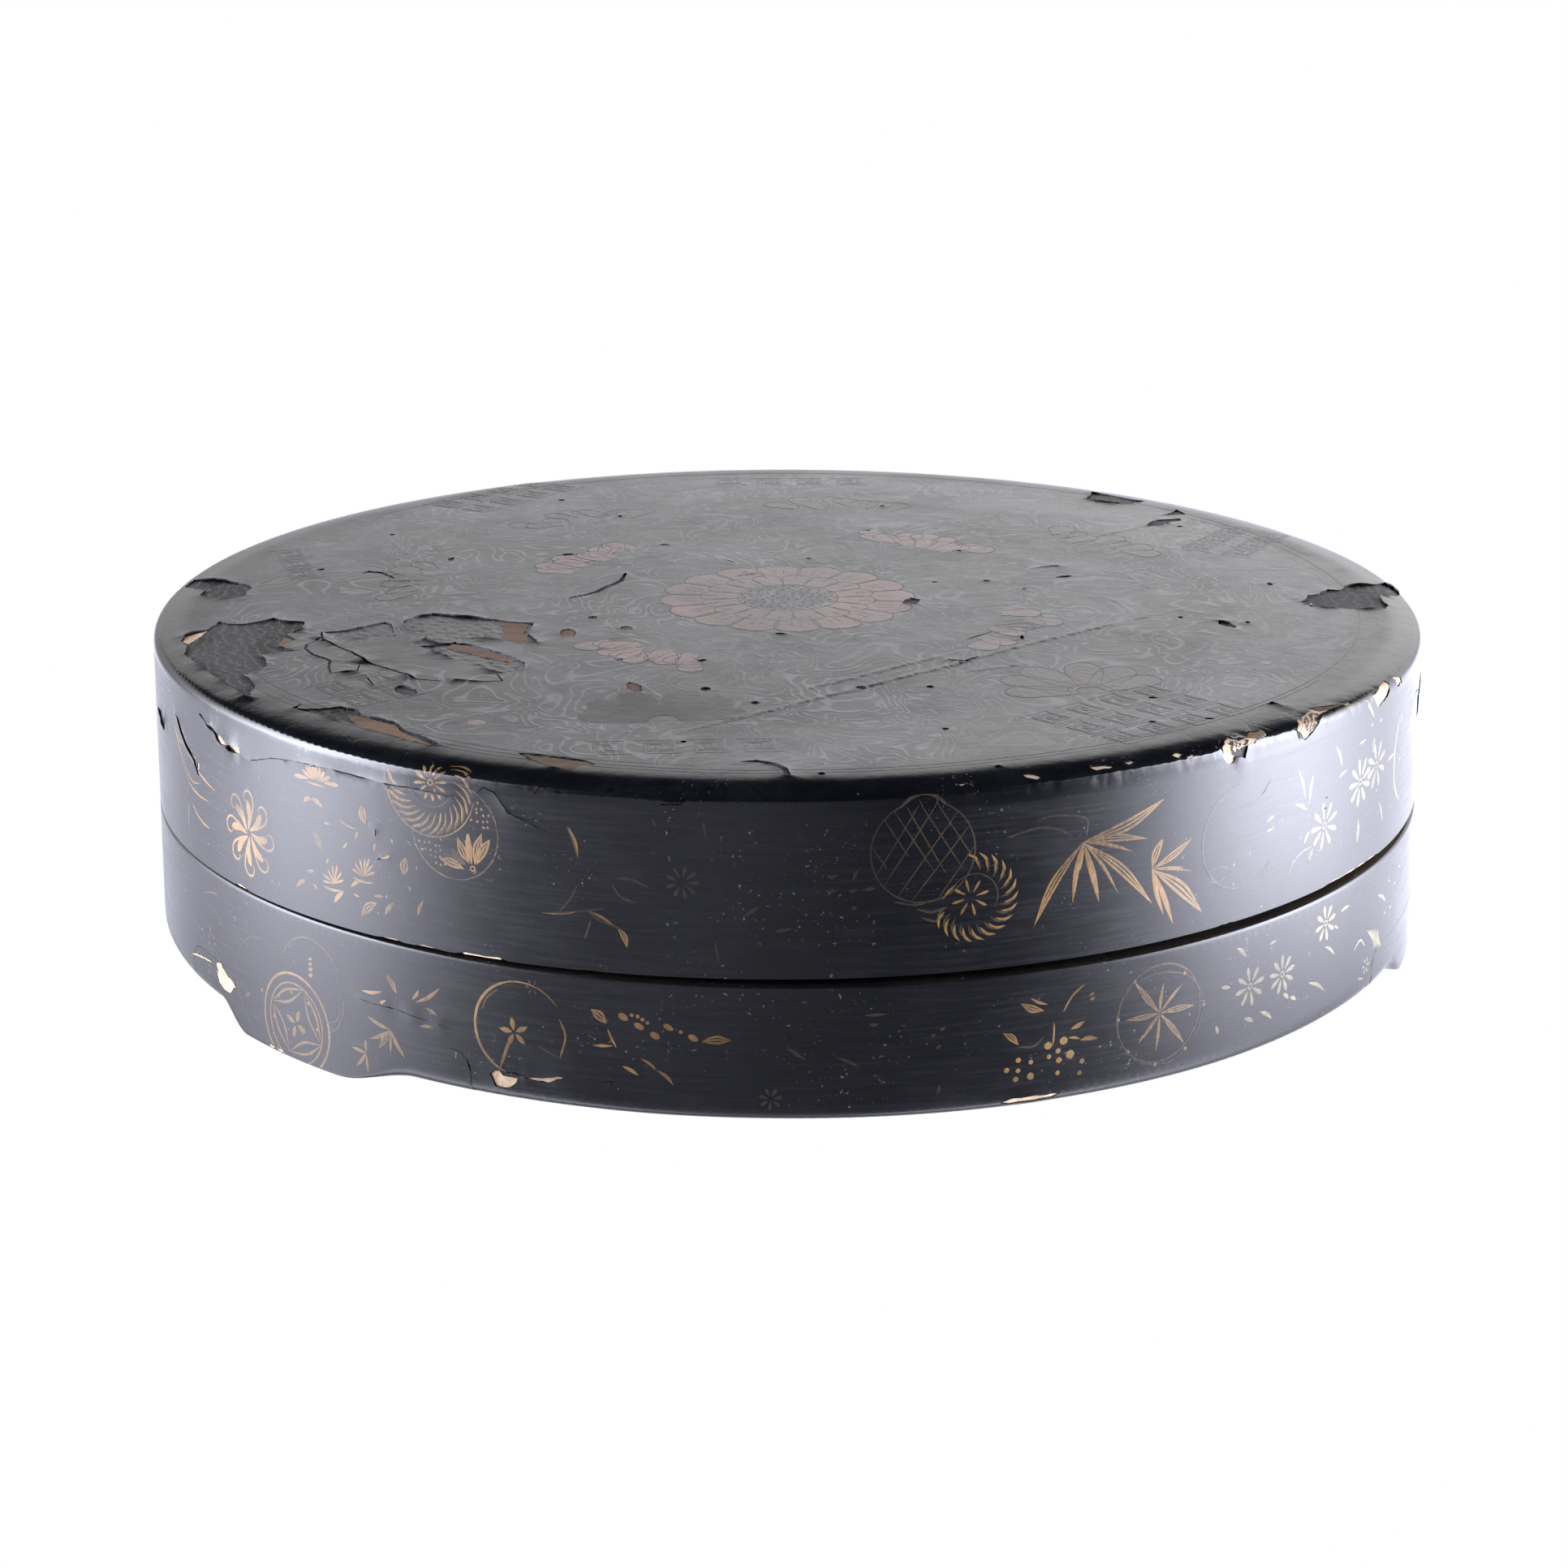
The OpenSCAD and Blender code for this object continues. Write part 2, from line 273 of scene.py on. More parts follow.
# Rows of the outlines at which the straight walls begin, with their chart lengths and heights.
LID_WALL_ROW = 107
BASE_WALL_ROW = 54
LID_WALL_S0 = float(LID.s[LID_WALL_ROW])
LID_WALL_Z0 = float(LID.data[LID_WALL_ROW, 1])
BASE_WALL_S0 = float(BASE.s[BASE_WALL_ROW])
BASE_WALL_Z0 = float(BASE.data[BASE_WALL_ROW, 1])


def spot(s: float, turn: float) -> tuple[float, float]:
    """Returns the chart point at a length and an angle in radians."""
    return (s * math.cos(turn), s * math.sin(turn))


def spots(s: np.ndarray, turn: np.ndarray) -> np.ndarray:
    """Returns the chart points at lengths and angles in radians."""
    return np.column_stack([s * np.cos(turn), s * np.sin(turn)])


def waves(flat: np.ndarray, seed: int, count: int, low: float, high: float) -> np.ndarray:
    """Smooth random waves.

    Args:
        flat: Points of the chart.
        seed: Fixed seed.
        count: Number of waves summed.
        low: Shortest wavelength in millimetres.
        high: Longest wavelength.

    Returns:
        Values of about -1 to 1.
    """
    rng = np.random.default_rng(seed)
    total = np.zeros(len(flat))
    for _ in range(count):
        a, phase = rng.uniform(0, 2 * math.pi, 2)
        k = 2 * math.pi / rng.uniform(low, high)
        total += np.sin(k * (flat[:, 0] * math.cos(a) + flat[:, 1] * math.sin(a)) + phase)
    return total / math.sqrt(count)


def jag(loop: list[tuple], rough: float, step: float, seed: int) -> np.ndarray:
    """Subdivides a closed loop and makes it ragged.

    Args:
        loop: Corners in the chart.
        rough: How far the points stray, in millimetres.
        step: Longest piece.
        seed: Fixed seed.

    Returns:
        Points of the ragged loop.
    """
    rng = np.random.default_rng(seed)
    points = []
    for a, b in zip(loop, loop[1:] + loop[:1]):
        a, b = np.array(a, float), np.array(b, float)
        count = max(1, int(np.linalg.norm(b - a) / step))
        side = np.array([-(b - a)[1], (b - a)[0]]) / max(np.linalg.norm(b - a), 1e-6)
        for k in range(count):
            stray = 0 if count < 2 else rough * rng.normal() * 0.6
            points.append(a + (b - a) * k / count + side * stray)
    return np.array(points)


def inside(points: np.ndarray, loop: np.ndarray) -> np.ndarray:
    """Finds which points lie inside a closed loop.

    Args:
        points: Chart points.
        loop: Corners of the loop.

    Returns:
        Whether each point lies inside.
    """
    hit = np.zeros(len(points), bool)
    box = np.all((points > loop.min(0)) & (points < loop.max(0)), axis=1)
    x, y = points[box, 0], points[box, 1]
    odd = np.zeros(len(x), bool)
    for (x0, y0), (x1, y1) in zip(loop, np.roll(loop, -1, axis=0)):
        if y0 == y1:
            continue
        cross = ((y0 > y) != (y1 > y)) & (x < (x1 - x0) * (y - y0) / (y1 - y0) + x0)
        odd ^= cross
    hit[box] = odd
    return hit


def tree_of(points: np.ndarray) -> KDTree:
    """Makes a search tree over chart points.

    Args:
        points: The points.

    Returns:
        The tree.
    """
    tree = KDTree(len(points))
    for k, (x, y) in enumerate(points):
        tree.insert((x, y, 0), k)
    tree.balance()
    return tree


def far_from(tree: KDTree, points: np.ndarray) -> np.ndarray:
    """Returns the distance of each chart point to the nearest point of a tree."""
    return np.array([tree.find((x, y, 0))[2] for x, y in points])


def triangulate(loops: list, inner: np.ndarray) -> tuple[np.ndarray, np.ndarray]:
    """Joins closed loops and inner points of the chart by triangles.

    Args:
        loops: Closed loops whose sides are kept.
        inner: Further points.

    Returns:
        Points and triangles.
    """
    links, start = [], 0
    for loop in loops:
        count = len(loop)
        links += [(start + k, start + (k + 1) % count) for k in range(count)]
        start += count
    made = delaunay_2d_cdt([Vector(p) for p in np.vstack(loops + [inner])], links, [], 0, 1e-5)
    return np.array([tuple(v) for v in made[0]]), np.array([f for f in made[2] if len(f) == 3])


def compact(flat: np.ndarray, faces: np.ndarray) -> tuple[np.ndarray, np.ndarray]:
    """Leaves out the points that no face uses.

    Args:
        flat: Points.
        faces: Triangles.

    Returns:
        The points that are used, and the triangles with their new numbers.
    """
    used = np.unique(faces)
    new = -np.ones(len(flat), int)
    new[used] = np.arange(len(used))
    return flat[used], new[faces]


def mesh_object(
    name: str, verts: np.ndarray, faces: list, material: bpy.types.Material, rounded: bool = True
) -> bpy.types.Object:
    """Makes a mesh object at the origin.

    Args:
        name: Name of the object and mesh.
        verts: Points in metres.
        faces: Rows of vertex numbers.
        material: Its material.
        rounded: Whether faces are shaded smooth.

    Returns:
        The new object.
    """
    mesh = bpy.data.meshes.new(name)
    mesh.from_pydata(np.asarray(verts).tolist(), [], [tuple(int(i) for i in f) for f in faces])
    mesh.materials.append(material)
    mesh.polygons.foreach_set("use_smooth", [rounded] * len(mesh.polygons))
    mesh.update()
    made = bpy.data.objects.new(name, mesh)
    bpy.context.scene.collection.objects.link(made)
    return made


# Materials

Socket = bpy.types.NodeSocket
Value = float | tuple | Socket


class Graph:
    """Short calls for building a node tree."""

    def __init__(self, tree: bpy.types.NodeTree) -> None:
        """Keeps the tree that nodes are added to."""
        self.tree = tree

    def add(self, kind: str, inputs: dict | None = None, **settings) -> bpy.types.Node:
        """Adds a node.

        Args:
            kind: The node's type name.
            inputs: Values or sockets by input name or number.
            settings: Properties of the node.

        Returns:
            The node.
        """
        made = self.tree.nodes.new(kind)
        for key, value in settings.items():
            setattr(made, key, value)
        for key, value in (inputs or {}).items():
            self.feed(made.inputs[key], value)
        return made

    def feed(self, socket: Socket, value: Value) -> None:
        """Links a socket to another one or sets its value.

        Args:
            socket: The socket.
            value: The other socket or the value.
        """
        if isinstance(value, Socket):
            self.tree.links.new(value, socket)
        else:
            socket.default_value = value

    def math(self, operation: str, *values: Value) -> Socket:
        """Returns the output of a math node over values or sockets."""
        return self.add("ShaderNodeMath", dict(enumerate(values)), operation=operation).outputs[0]

    def times(self, a: Value, b: Value) -> Socket:
        """Returns a product."""
        return self.math("MULTIPLY", a, b)

    def plus(self, a: Value, b: Value) -> Socket:
        """Returns a sum."""
        return self.math("ADD", a, b)

    def minus(self, a: Value, b: Value) -> Socket:
        """Returns a difference."""
        return self.math("SUBTRACT", a, b)

    def ramp(self, value: Socket, low: float, high: float, to_low: float = 0, to_high: float = 1) -> Socket:
        """Returns a smooth step of a socket between two values."""
        inputs = {"Value": value, "From Min": low, "From Max": high, "To Min": to_low, "To Max": to_high}
        return self.add("ShaderNodeMapRange", inputs, interpolation_type="SMOOTHSTEP").outputs[0]

    def mix(self, factor: Value, a: Value, b: Value) -> Socket:
        """Returns the mix of two colours by a factor."""
        return self.add("ShaderNodeMix", {0: factor, 6: a, 7: b}, data_type="RGBA").outputs[2]

    def noise(self, vector: Socket, scale: float, detail: float = 3.0, rough: float = 0.55) -> Socket:
        """Returns the value of a noise texture."""
        inputs = {"Vector": vector, "Scale": scale, "Detail": detail, "Roughness": rough}
        return self.add("ShaderNodeTexNoise", inputs).outputs[0]

    def place(self) -> Socket:
        """Returns object coordinates."""
        return self.add("ShaderNodeTexCoord").outputs["Object"]

    def split(self, vector: Socket) -> list[Socket]:
        """Returns the three parts of a vector."""
        return list(self.add("ShaderNodeSeparateXYZ", {0: vector}).outputs)

    def stretch(self, vector: Socket, scale: tuple, turn: float = 0.0) -> Socket:
        """Returns a vector turned about Z by degrees and scaled."""
        inputs = {"Vector": vector, "Rotation": (0, 0, math.radians(turn)), "Scale": scale}
        return self.add("ShaderNodeMapping", inputs).outputs[0]

    def join(self, socket: Socket, target: Socket) -> None:
        """Links a socket to a target."""
        self.tree.links.new(socket, target)


def rgb(value: str) -> tuple:
    """Returns a linear colour from a six digit screen colour."""
    parts = [int(value[k : k + 2], 16) / 255 for k in (0, 2, 4)]
    return tuple((c / 12.92 if c <= 0.04045 else ((c + 0.055) / 1.055) ** 2.4) for c in parts) + (1.0,)


def group(name: str, outputs: list[str], build: Callable) -> bpy.types.NodeTree:
    """Makes a shader node group with a Vector input and value outputs.

    Args:
        name: Name of the group.
        outputs: Names of its outputs.
        build: Takes the graph and the vector socket and returns the sockets of the outputs.

    Returns:
        The group.
    """
    tree = bpy.data.node_groups.new(name, "ShaderNodeTree")
    tree.interface.new_socket("Vector", in_out="INPUT", socket_type="NodeSocketVector")
    for label in outputs:
        tree.interface.new_socket(label, in_out="OUTPUT", socket_type="NodeSocketFloat")
    graph = Graph(tree)
    start = tree.nodes.new("NodeGroupInput")
    end = tree.nodes.new("NodeGroupOutput")
    for socket, made in zip(end.inputs, build(graph, start.outputs[0])):
        tree.links.new(made, socket)
    return tree


def build_wear(g: Graph, vector: Socket) -> tuple:
    """Builds the marks of worn surfaces.

    Args:
        g: Graph to build in.
        vector: Place on the piece.

    Returns:
        Patches, fine specks and scratches.
    """
    patches = g.ramp(g.noise(vector, 28, 5, 0.6), 0.42, 0.62)
    specks = g.ramp(g.noise(vector, 900, 2, 0.5), 0.66, 0.74)
    inputs = {"Vector": vector, "Scale": 90, "Distortion": 9, "Detail": 4, "Detail Scale": 1.5}
    rings = g.add("ShaderNodeTexWave", inputs, wave_type="RINGS", rings_direction="Z")
    scratches = g.ramp(rings.outputs[1], 0.8, 1.0)
    return patches, specks, scratches


def build_weave(g: Graph, vector: Socket) -> tuple:
    """Builds a coarse cloth weave along the turn and the height of the wall.

    Args:
        g: Graph to build in.
        vector: Place on the piece.

    Returns:
        Its height.
    """
    x, y, z = g.split(vector)
    turn = g.math("ARCTAN2", y, x)
    across = g.math("SINE", g.times(turn, 1500.0))
    along = g.math("SINE", g.times(z, 7200.0))
    return (g.times(g.plus(across, along), 0.5),)


class Looks:
    """The node groups that the materials share, and the start of a material."""

    def __init__(self) -> None:
        """Makes the shared groups."""
        self.wear = group("wear", ["Patches", "Specks", "Scratches"], build_wear)
        self.weave = group("weave", ["Height"], build_weave)

    def use(self, g: Graph, tree: bpy.types.NodeTree, vector: Socket) -> list[Socket]:
        """Adds a group node.

        Args:
            g: Graph to build in.
            tree: The group.
            vector: Its input.

        Returns:
            Its outputs.
        """
        made = g.add("ShaderNodeGroup", node_tree=tree)
        g.join(vector, made.inputs[0])
        return list(made.outputs)

    def start(self, name: str) -> tuple[bpy.types.Material, Graph, bpy.types.Node]:
        """Starts a material.

        Args:
            name: Its name.

        Returns:
            The material, its graph and its main shader.
        """
        material = bpy.data.materials.new(name)
        material.use_nodes = True
        tree = material.node_tree
        return material, Graph(tree), tree.nodes["Principled BSDF"]


@dataclass(frozen=True)
class Finish:
    """A dielectric finish with two colours mixed by patches, and fine bumps.

    Attributes:
        name: Name of the material.
        low: Its dark colour.
        high: Its light colour.
        rough_low: Roughness of the dark colour.
        rough_high: Roughness of the light one.
        bump: Strength of the fine bumps.
        bump_scale: How many there are to a metre.
        specks: Colour of fine specks, if any.
        ior: Index of refraction.
        grain_turn: Direction of the grain in degrees, for wood.
        weave: Height of a weave.
        contrast: How far the mix of the colours is sharpened; scratches come with it.
    """

    name: str
    low: str
    high: str
    rough_low: float
    rough_high: float
    bump: float
    bump_scale: float
    specks: str = ""
    ior: float = 1.5
    grain_turn: float | None = None
    weave: float = 0.0
    contrast: float = 0.0

    def make(self, looks: Looks) -> bpy.types.Material:
        """Makes the material of this finish.

        Args:
            looks: The shared groups.

        Returns:
            The material.
        """
        material, g, shader = looks.start(self.name)
        vector = where = g.place()
        if self.grain_turn is not None:
            vector = g.stretch(where, (0.06, 1.0, 1.0), -self.grain_turn)
        wear = looks.use(g, looks.wear, vector)
        fine = g.noise(vector, self.bump_scale, 4, 0.6)
        amount = g.times(g.plus(wear[0], fine), 0.5)
        if self.contrast:
            amount = g.ramp(amount, self.contrast, 1 - self.contrast)
        colour = g.mix(amount, rgb(self.low), rgb(self.high))
        if self.specks:
            colour = g.mix(g.times(wear[1], 0.6), colour, rgb(self.specks))
        height = fine
        if self.contrast:
            colour = g.mix(g.times(wear[2], 0.16), colour, rgb(self.specks))
        if self.weave:
            thread = looks.use(g, looks.weave, where)
            height = g.plus(fine, g.times(thread[0], self.weave))
        bump = g.add("ShaderNodeBump", {"Height": height, "Strength": self.bump, "Distance": 0.0004})
        g.join(colour, shader.inputs["Base Color"])
        g.join(g.ramp(amount, 0.0, 1.0, self.rough_low, self.rough_high), shader.inputs["Roughness"])
        g.join(bump.outputs[0], shader.inputs["Normal"])
        shader.inputs["IOR"].default_value = self.ior
        return material


@dataclass(frozen=True)
class Lacquer:
    """Worn black lacquer: mottled and crackled on top, finely rubbed along the turn on the walls.

    Attributes:
        name: Name of the material.
        dark: Colour of the sound lacquer.
        dust: Colour of the grime and rubbed places.
        rough: Roughness of the sound lacquer.
        rough_worn: Roughness of rubbed places.
    """

    name: str = "black_lacquer"
    dark: str = "090a0d"
    dust: str = "2a2b30"
    rough: float = 0.23
    rough_worn: float = 0.29

    def make(self, looks: Looks) -> bpy.types.Material:
        """Makes the lacquer's material.

        Args:
            looks: The shared groups.

        Returns:
            The material.
        """
        material, g, shader = looks.start(self.name)
        where = g.place()
        x, y, z = g.split(where)
        turn = g.math("ARCTAN2", y, x)
        unrolled = g.add("ShaderNodeCombineXYZ", {0: g.times(turn, 0.19), 1: z, 2: 0.0}).outputs[0]
        rubbed = g.stretch(unrolled, (0.05, 1.0, 1.0))
        top = g.ramp(z, 0.0938, 0.0962)
        far = g.math("SQRT", g.plus(g.times(x, x), g.times(y, y)))
        wear = looks.use(g, looks.wear, where)
        clouds = g.noise(where, 45, 6, 0.65)
        fine = g.noise(where, 420, 4, 0.6)
        streaks = g.noise(rubbed, 900, 3, 0.6)
        ripples = g.noise(where, 130, 3, 0.55)
        inputs = {"Vector": self.bent(g, where), "Scale": 55}
        cells = g.add("ShaderNodeTexVoronoi", inputs, feature="DISTANCE_TO_EDGE")
        crackle = g.times(g.ramp(cells.outputs[0], 0.0, 0.022, 1.0, 0.0), g.ramp(clouds, 0.5, 0.62))
        painted = g.ramp(far, 0.165, 0.177, 1.0, 0.0)
        scroll = g.times(self.scroll(g, where), painted)
        worn = g.ramp(g.plus(g.times(clouds, 0.7), g.times(fine, 0.3)), 0.38, 0.66)
        wall_worn = g.ramp(g.plus(g.times(streaks, 0.6), g.times(clouds, 0.4)), 0.38, 0.66)
        amount = g.plus(g.times(worn, top), g.times(wall_worn, g.minus(1.0, top)))
        dusty = g.times(amount, g.plus(0.15, g.times(wear[1], 0.5)))
        colour = g.mix(dusty, rgb(self.dark), rgb(self.dust))
        specks = g.times(wear[1], g.ramp(g.noise(where, 60, 2, 0.5), 0.5, 0.6, 0.0, 0.5))
        colour = g.mix(specks, colour, rgb("77777d"))
        colour = g.mix(g.times(crackle, top), colour, rgb("050505"))
        patches = g.times(g.ramp(g.noise(where, 22, 2, 0.5), 0.44, 0.56), g.times(painted, 0.6))
        colour = g.mix(patches, colour, rgb("2d2e33"))
        colour = g.mix(g.times(scroll, 0.4), colour, rgb("65666b"))
        on_top = g.plus(g.times(ripples, 0.9), g.times(fine, 0.2))
        on_top = g.plus(on_top, g.times(scroll, 0.3))
        on_top = g.minus(on_top, g.times(crackle, 0.22))
        on_wall = g.plus(g.times(ripples, 0.25), g.times(streaks, 0.014))
        height = g.plus(g.times(on_top, top), g.times(on_wall, g.minus(1.0, top)))
        bump = g.add("ShaderNodeBump", {"Height": height, "Strength": 1.0, "Distance": 0.0001})
        edge = g.times(g.ramp(far, 0.178, 0.184), g.ramp(z, 0.091, 0.0925))
        rough = g.ramp(amount, 0.0, 1.0, self.rough, self.rough_worn)
        rough = g.times(rough, g.minus(1.0, g.times(edge, 0.5)))
        g.join(colour, shader.inputs["Base Color"])
        g.join(rough, shader.inputs["Roughness"])
        g.join(bump.outputs[0], shader.inputs["Normal"])
        return material

    @staticmethod
    def scroll(g: Graph, where: Socket) -> Socket:
        """Builds the worn cloud scrolls as level lines of a soft noise.

        Args:
            g: Graph to build in.
            where: Object coordinates.

        Returns:
            Their strength.
        """
        inputs = {"Vector": where, "Scale": 34, "Detail": 1.5, "Roughness": 0.6, "Distortion": 1.2}
        soft = g.add("ShaderNodeTexNoise", inputs).outputs[0]
        level = g.math("FRACT", g.times(soft, 13.0))
        line = g.ramp(g.math("ABSOLUTE", g.minus(level, 0.5)), 0.06, 0.2, 1.0, 0.0)
        return g.times(line, g.ramp(g.noise(where, 30, 3, 0.6), 0.4, 0.6, 0.4, 1.0))

    @staticmethod
    def bent(g: Graph, where: Socket) -> Socket:
        """Bends coordinates by noise, for uneven crackle.

        Args:
            g: Graph to build in.
            where: Object coordinates.

        Returns:
            The bent coordinates.
        """
        kind = "ShaderNodeVectorMath"
        noise = g.add("ShaderNodeTexNoise", {"Vector": where, "Scale": 70, "Detail": 3})
        shift = g.add(kind, {0: noise.outputs["Color"], 1: (0.5, 0.5, 0.5)}, operation="SUBTRACT")
        small = g.add(kind, {0: shift.outputs[0], "Scale": 0.014}, operation="SCALE")
        return g.add(kind, {0: where, 1: small.outputs[0]}, operation="ADD").outputs[0]


FINISHES = (
    Finish("pink", "2b2324", "6e5654", 0.22, 0.28, 0.3, 420),
    Finish("faint_pink", "17161a", "453c3d", 0.22, 0.28, 0.3, 420),
    # This dark paint draws the dark outlines on the top, and the painted shadow beside the fret lines.
    Finish("dark_paint", "050506", "0d0d0f", 0.26, 0.34, 0.2, 300),
    Finish("pale_paint", "1c1c1f", "3f3f3e", 0.22, 0.28, 0.25, 300),
    Finish("cream_wood", "7a6048", "dcc8ac", 0.7, 0.85, 1.0, 330),
    Finish("brown_wood", "32241b", "66503c", 0.6, 0.8, 1.0, 500, grain_turn=41),
    Finish("gold", "35281a", "8c6d42", 0.25, 0.33, 0.4, 600),
    Finish("pale_gold", "3a362c", "8b8263", 0.25, 0.33, 0.4, 600),
    Finish("faint_gold", "151518", "473b2b", 0.24, 0.3, 0.3, 600),
    Finish("ground", "0f0f10", "3b3a3a", 0.4, 0.6, 1.0, 400, "858079", ior=1.3, contrast=0.3),
    Finish("pale_ground", "1a1a1b", "3b3a3a", 0.24, 0.36, 0.9, 260, "5a5a5a"),
    Finish("cloth", "5b4630", "8a6f4c", 0.8, 0.9, 0.8, 500, weave=1.2),
    Finish("board_wood", "4a3626", "a98a63", 0.6, 0.8, 0.5, 300, grain_turn=41),
    Finish("floor_wood", "4a3626", "a98a63", 0.6, 0.8, 0.5, 300, grain_turn=90),
    Finish("hoop_wood", "7a5c3e", "c7a57a", 0.6, 0.8, 0.5, 300),
    Finish("lip_wood", "1c140e", "33261b", 0.5, 0.7, 0.5, 300),
    Finish("bamboo", "9c7c4a", "c6a76d", 0.5, 0.6, 0.3, 300),
    Finish("inside_lacquer", "120d0b", "241a15", 0.3, 0.45, 0.2, 240, "4a3a30"),
)


# Coats with losses


@dataclass
class Loss:
    """A place where the lacquer has flaked off.

    Attributes:
        loop: Corners in the chart.
        lift: Height of the curled lacquer edge in millimetres.
        rough: Raggedness of the edge.
        bare: Rows of a finish and a loop inside it where wood is bared.
    """

    loop: list
    lift: float = 0.35
    rough: float = 0.35
    bare: list = field(default_factory=list)


@dataclass
class Ridge:
    """A raised line in the lacquer, such as one over a board joint.

    Attributes:
        path: Corners of the line in the chart.
        height: Its height in millimetres.
        width: How far it falls off to each side.
    """

    path: list
    height: float
    width: float


# Spacing of the fine points by holes and ridges, how many reach to each side, and how far in millimetres.
FINE_STEP = 1.1
FINE_CELLS = 4
FINE_REACH = 3.6

# How far the curl of a flaked edge reaches and how soon it fades, in millimetres.
CURL_REACH = 12
CURL_FADE = 2.2


@dataclass
class Skin:
    """One closed coat of the lid or base.

    Attributes:
        name: Object name.
        outline: Outside of the box that it follows.
        coat: Which coat.
        edge: Returns the chart length of its outer edge at angles in radians.
        holes: Ragged loops.
        lifts: Curl of each hole's edge.
        ridges: Raised lines.
        rings: Chart lengths of the rings of points.
        swell: Returns a height for chart points.
        spacing: Distance of the points on a ring.
    """

    name: str
    outline: Outline
    coat: Coat
    edge: Callable
    holes: list
    lifts: list
    ridges: list
    rings: list
    swell: Callable
    spacing: float = 3.3

    def far_inside(self, points: np.ndarray) -> np.ndarray:
        """Returns which chart points lie well inside the outer edge."""
        turn = np.arctan2(points[:, 1], points[:, 0])
        return np.hypot(points[:, 0], points[:, 1]) < self.edge(turn) - 0.5

    def chart_points(self, edge: np.ndarray) -> np.ndarray:
        """Spreads the inner points: rings, and finer points by holes and ridges.

        Args:
            edge: Points of the outer edge.

        Returns:
            Chart points.
        """
        coarse = []
        for k, s in enumerate(self.rings):
            count = max(8, int(2 * math.pi * min(s, SIZES.box_r) / self.spacing))
            coarse.append(spots(s, (np.arange(count) + 0.5 * (k % 2)) * 2 * math.pi / count))
        points = np.vstack(coarse)
        points = points[self.far_inside(points)]
        tree = tree_of(np.vstack([edge] + self.holes))
        points = points[far_from(tree, points) > 0.5]
        marks = self.holes + [jag(ridge.path, 0, 1.0, 1) for ridge in self.ridges]
        if not marks:
            return points
        marks = np.vstack(marks)
        fine_tree = tree_of(marks)
        points = points[far_from(fine_tree, points) > FINE_REACH]
        cells = set()
        around = range(-FINE_CELLS, FINE_CELLS + 1)
        for x, y in marks:
            i, j = int(round(x / FINE_STEP)), int(round(y / FINE_STEP))
            cells.update((i + a, j + b) for a in around for b in around)
        fine = np.array(sorted(cells), float) * FINE_STEP
        fine += np.random.default_rng(5).uniform(-0.25, 0.25, fine.shape)
        okay = (far_from(fine_tree, fine) < FINE_REACH) & (far_from(tree, fine) > 0.55)
        return np.vstack([points, fine[okay & self.far_inside(fine)]])

    def relief(self, flat: np.ndarray) -> np.ndarray:
        """Works out how far the coat's outside stands above the even box.

        Args:
            flat: Chart points.

        Returns:
            Heights in millimetres.
        """
        height = self.swell(flat)
        if self.holes:
            curl = np.concatenate([self.curl(h, c) for h, c in zip(self.holes, self.lifts)])
            tree = tree_of(np.vstack(self.holes))
            for k, (x, y) in enumerate(flat):
                _, index, far = tree.find((x, y, 0))
                if far < CURL_REACH:
                    height[k] += curl[index] * math.exp(-far / CURL_FADE)
        for ridge in self.ridges:
            marks = self.open_points(ridge.path)
            tree = tree_of(marks)
            reach = 4 * ridge.width
            near = np.all((flat > marks.min(0) - reach) & (flat < marks.max(0) + reach), axis=1)
            for k in np.nonzero(near)[0]:
                _, index, far = tree.find((flat[k, 0], flat[k, 1], 0))
                if far < reach:
                    taper = min(1.0, 4.0 * index / len(marks), 4.0 * (len(marks) - index) / len(marks))
                    height[k] += taper * ridge.height * math.exp(-((far / ridge.width) ** 2))
        return height

    @staticmethod
    def open_points(path: list) -> np.ndarray:
        """Spreads close points along an open path.

        Args:
            path: Its corners.

        Returns:
            The points.
        """
        found = []
        for a, b in zip(path, path[1:]):
            a, b = np.array(a, float), np.array(b, float)
            count = max(1, int(np.linalg.norm(b - a) / 0.7))
            found += [a + (b - a) * k / count for k in range(count)]
        return np.array(found + [np.array(path[-1], float)])

    @staticmethod
    def curl(hole: np.ndarray, lift: float) -> np.ndarray:
        """Returns how far each point of a hole's edge is curled up."""
        bend = waves(hole, int(abs(hole[0, 0]) * 10), 4, 8, 30)
        return lift * np.clip(0.45 + 0.75 * bend, 0.0, 1.5)

    def build(self, material: bpy.types.Material) -> bpy.types.Object:
        """Builds the coat as one closed mesh.

        Args:
            material: Its material.

        Returns:
            The object.
        """
        turn = np.radians(np.arange(0, 360, 1.0))
        edge = spots(self.edge(turn), turn)
        flat, faces = triangulate([edge] + self.holes, self.chart_points(edge))
        middle = flat[faces].mean(1)
        keep = inside(middle, edge)
        for hole in self.holes:
            keep &= ~inside(middle, hole)
        flat, faces = compact(flat, faces[keep])
        height = self.relief(flat)
        top, low = self.coat.value
        verts, faces = shell(self.outline, flat, faces, height - top, height - low)
        made = mesh_object(self.name, verts, faces, material)
        made.data.set_sharp_from_angle(angle=math.radians(50))
        return made


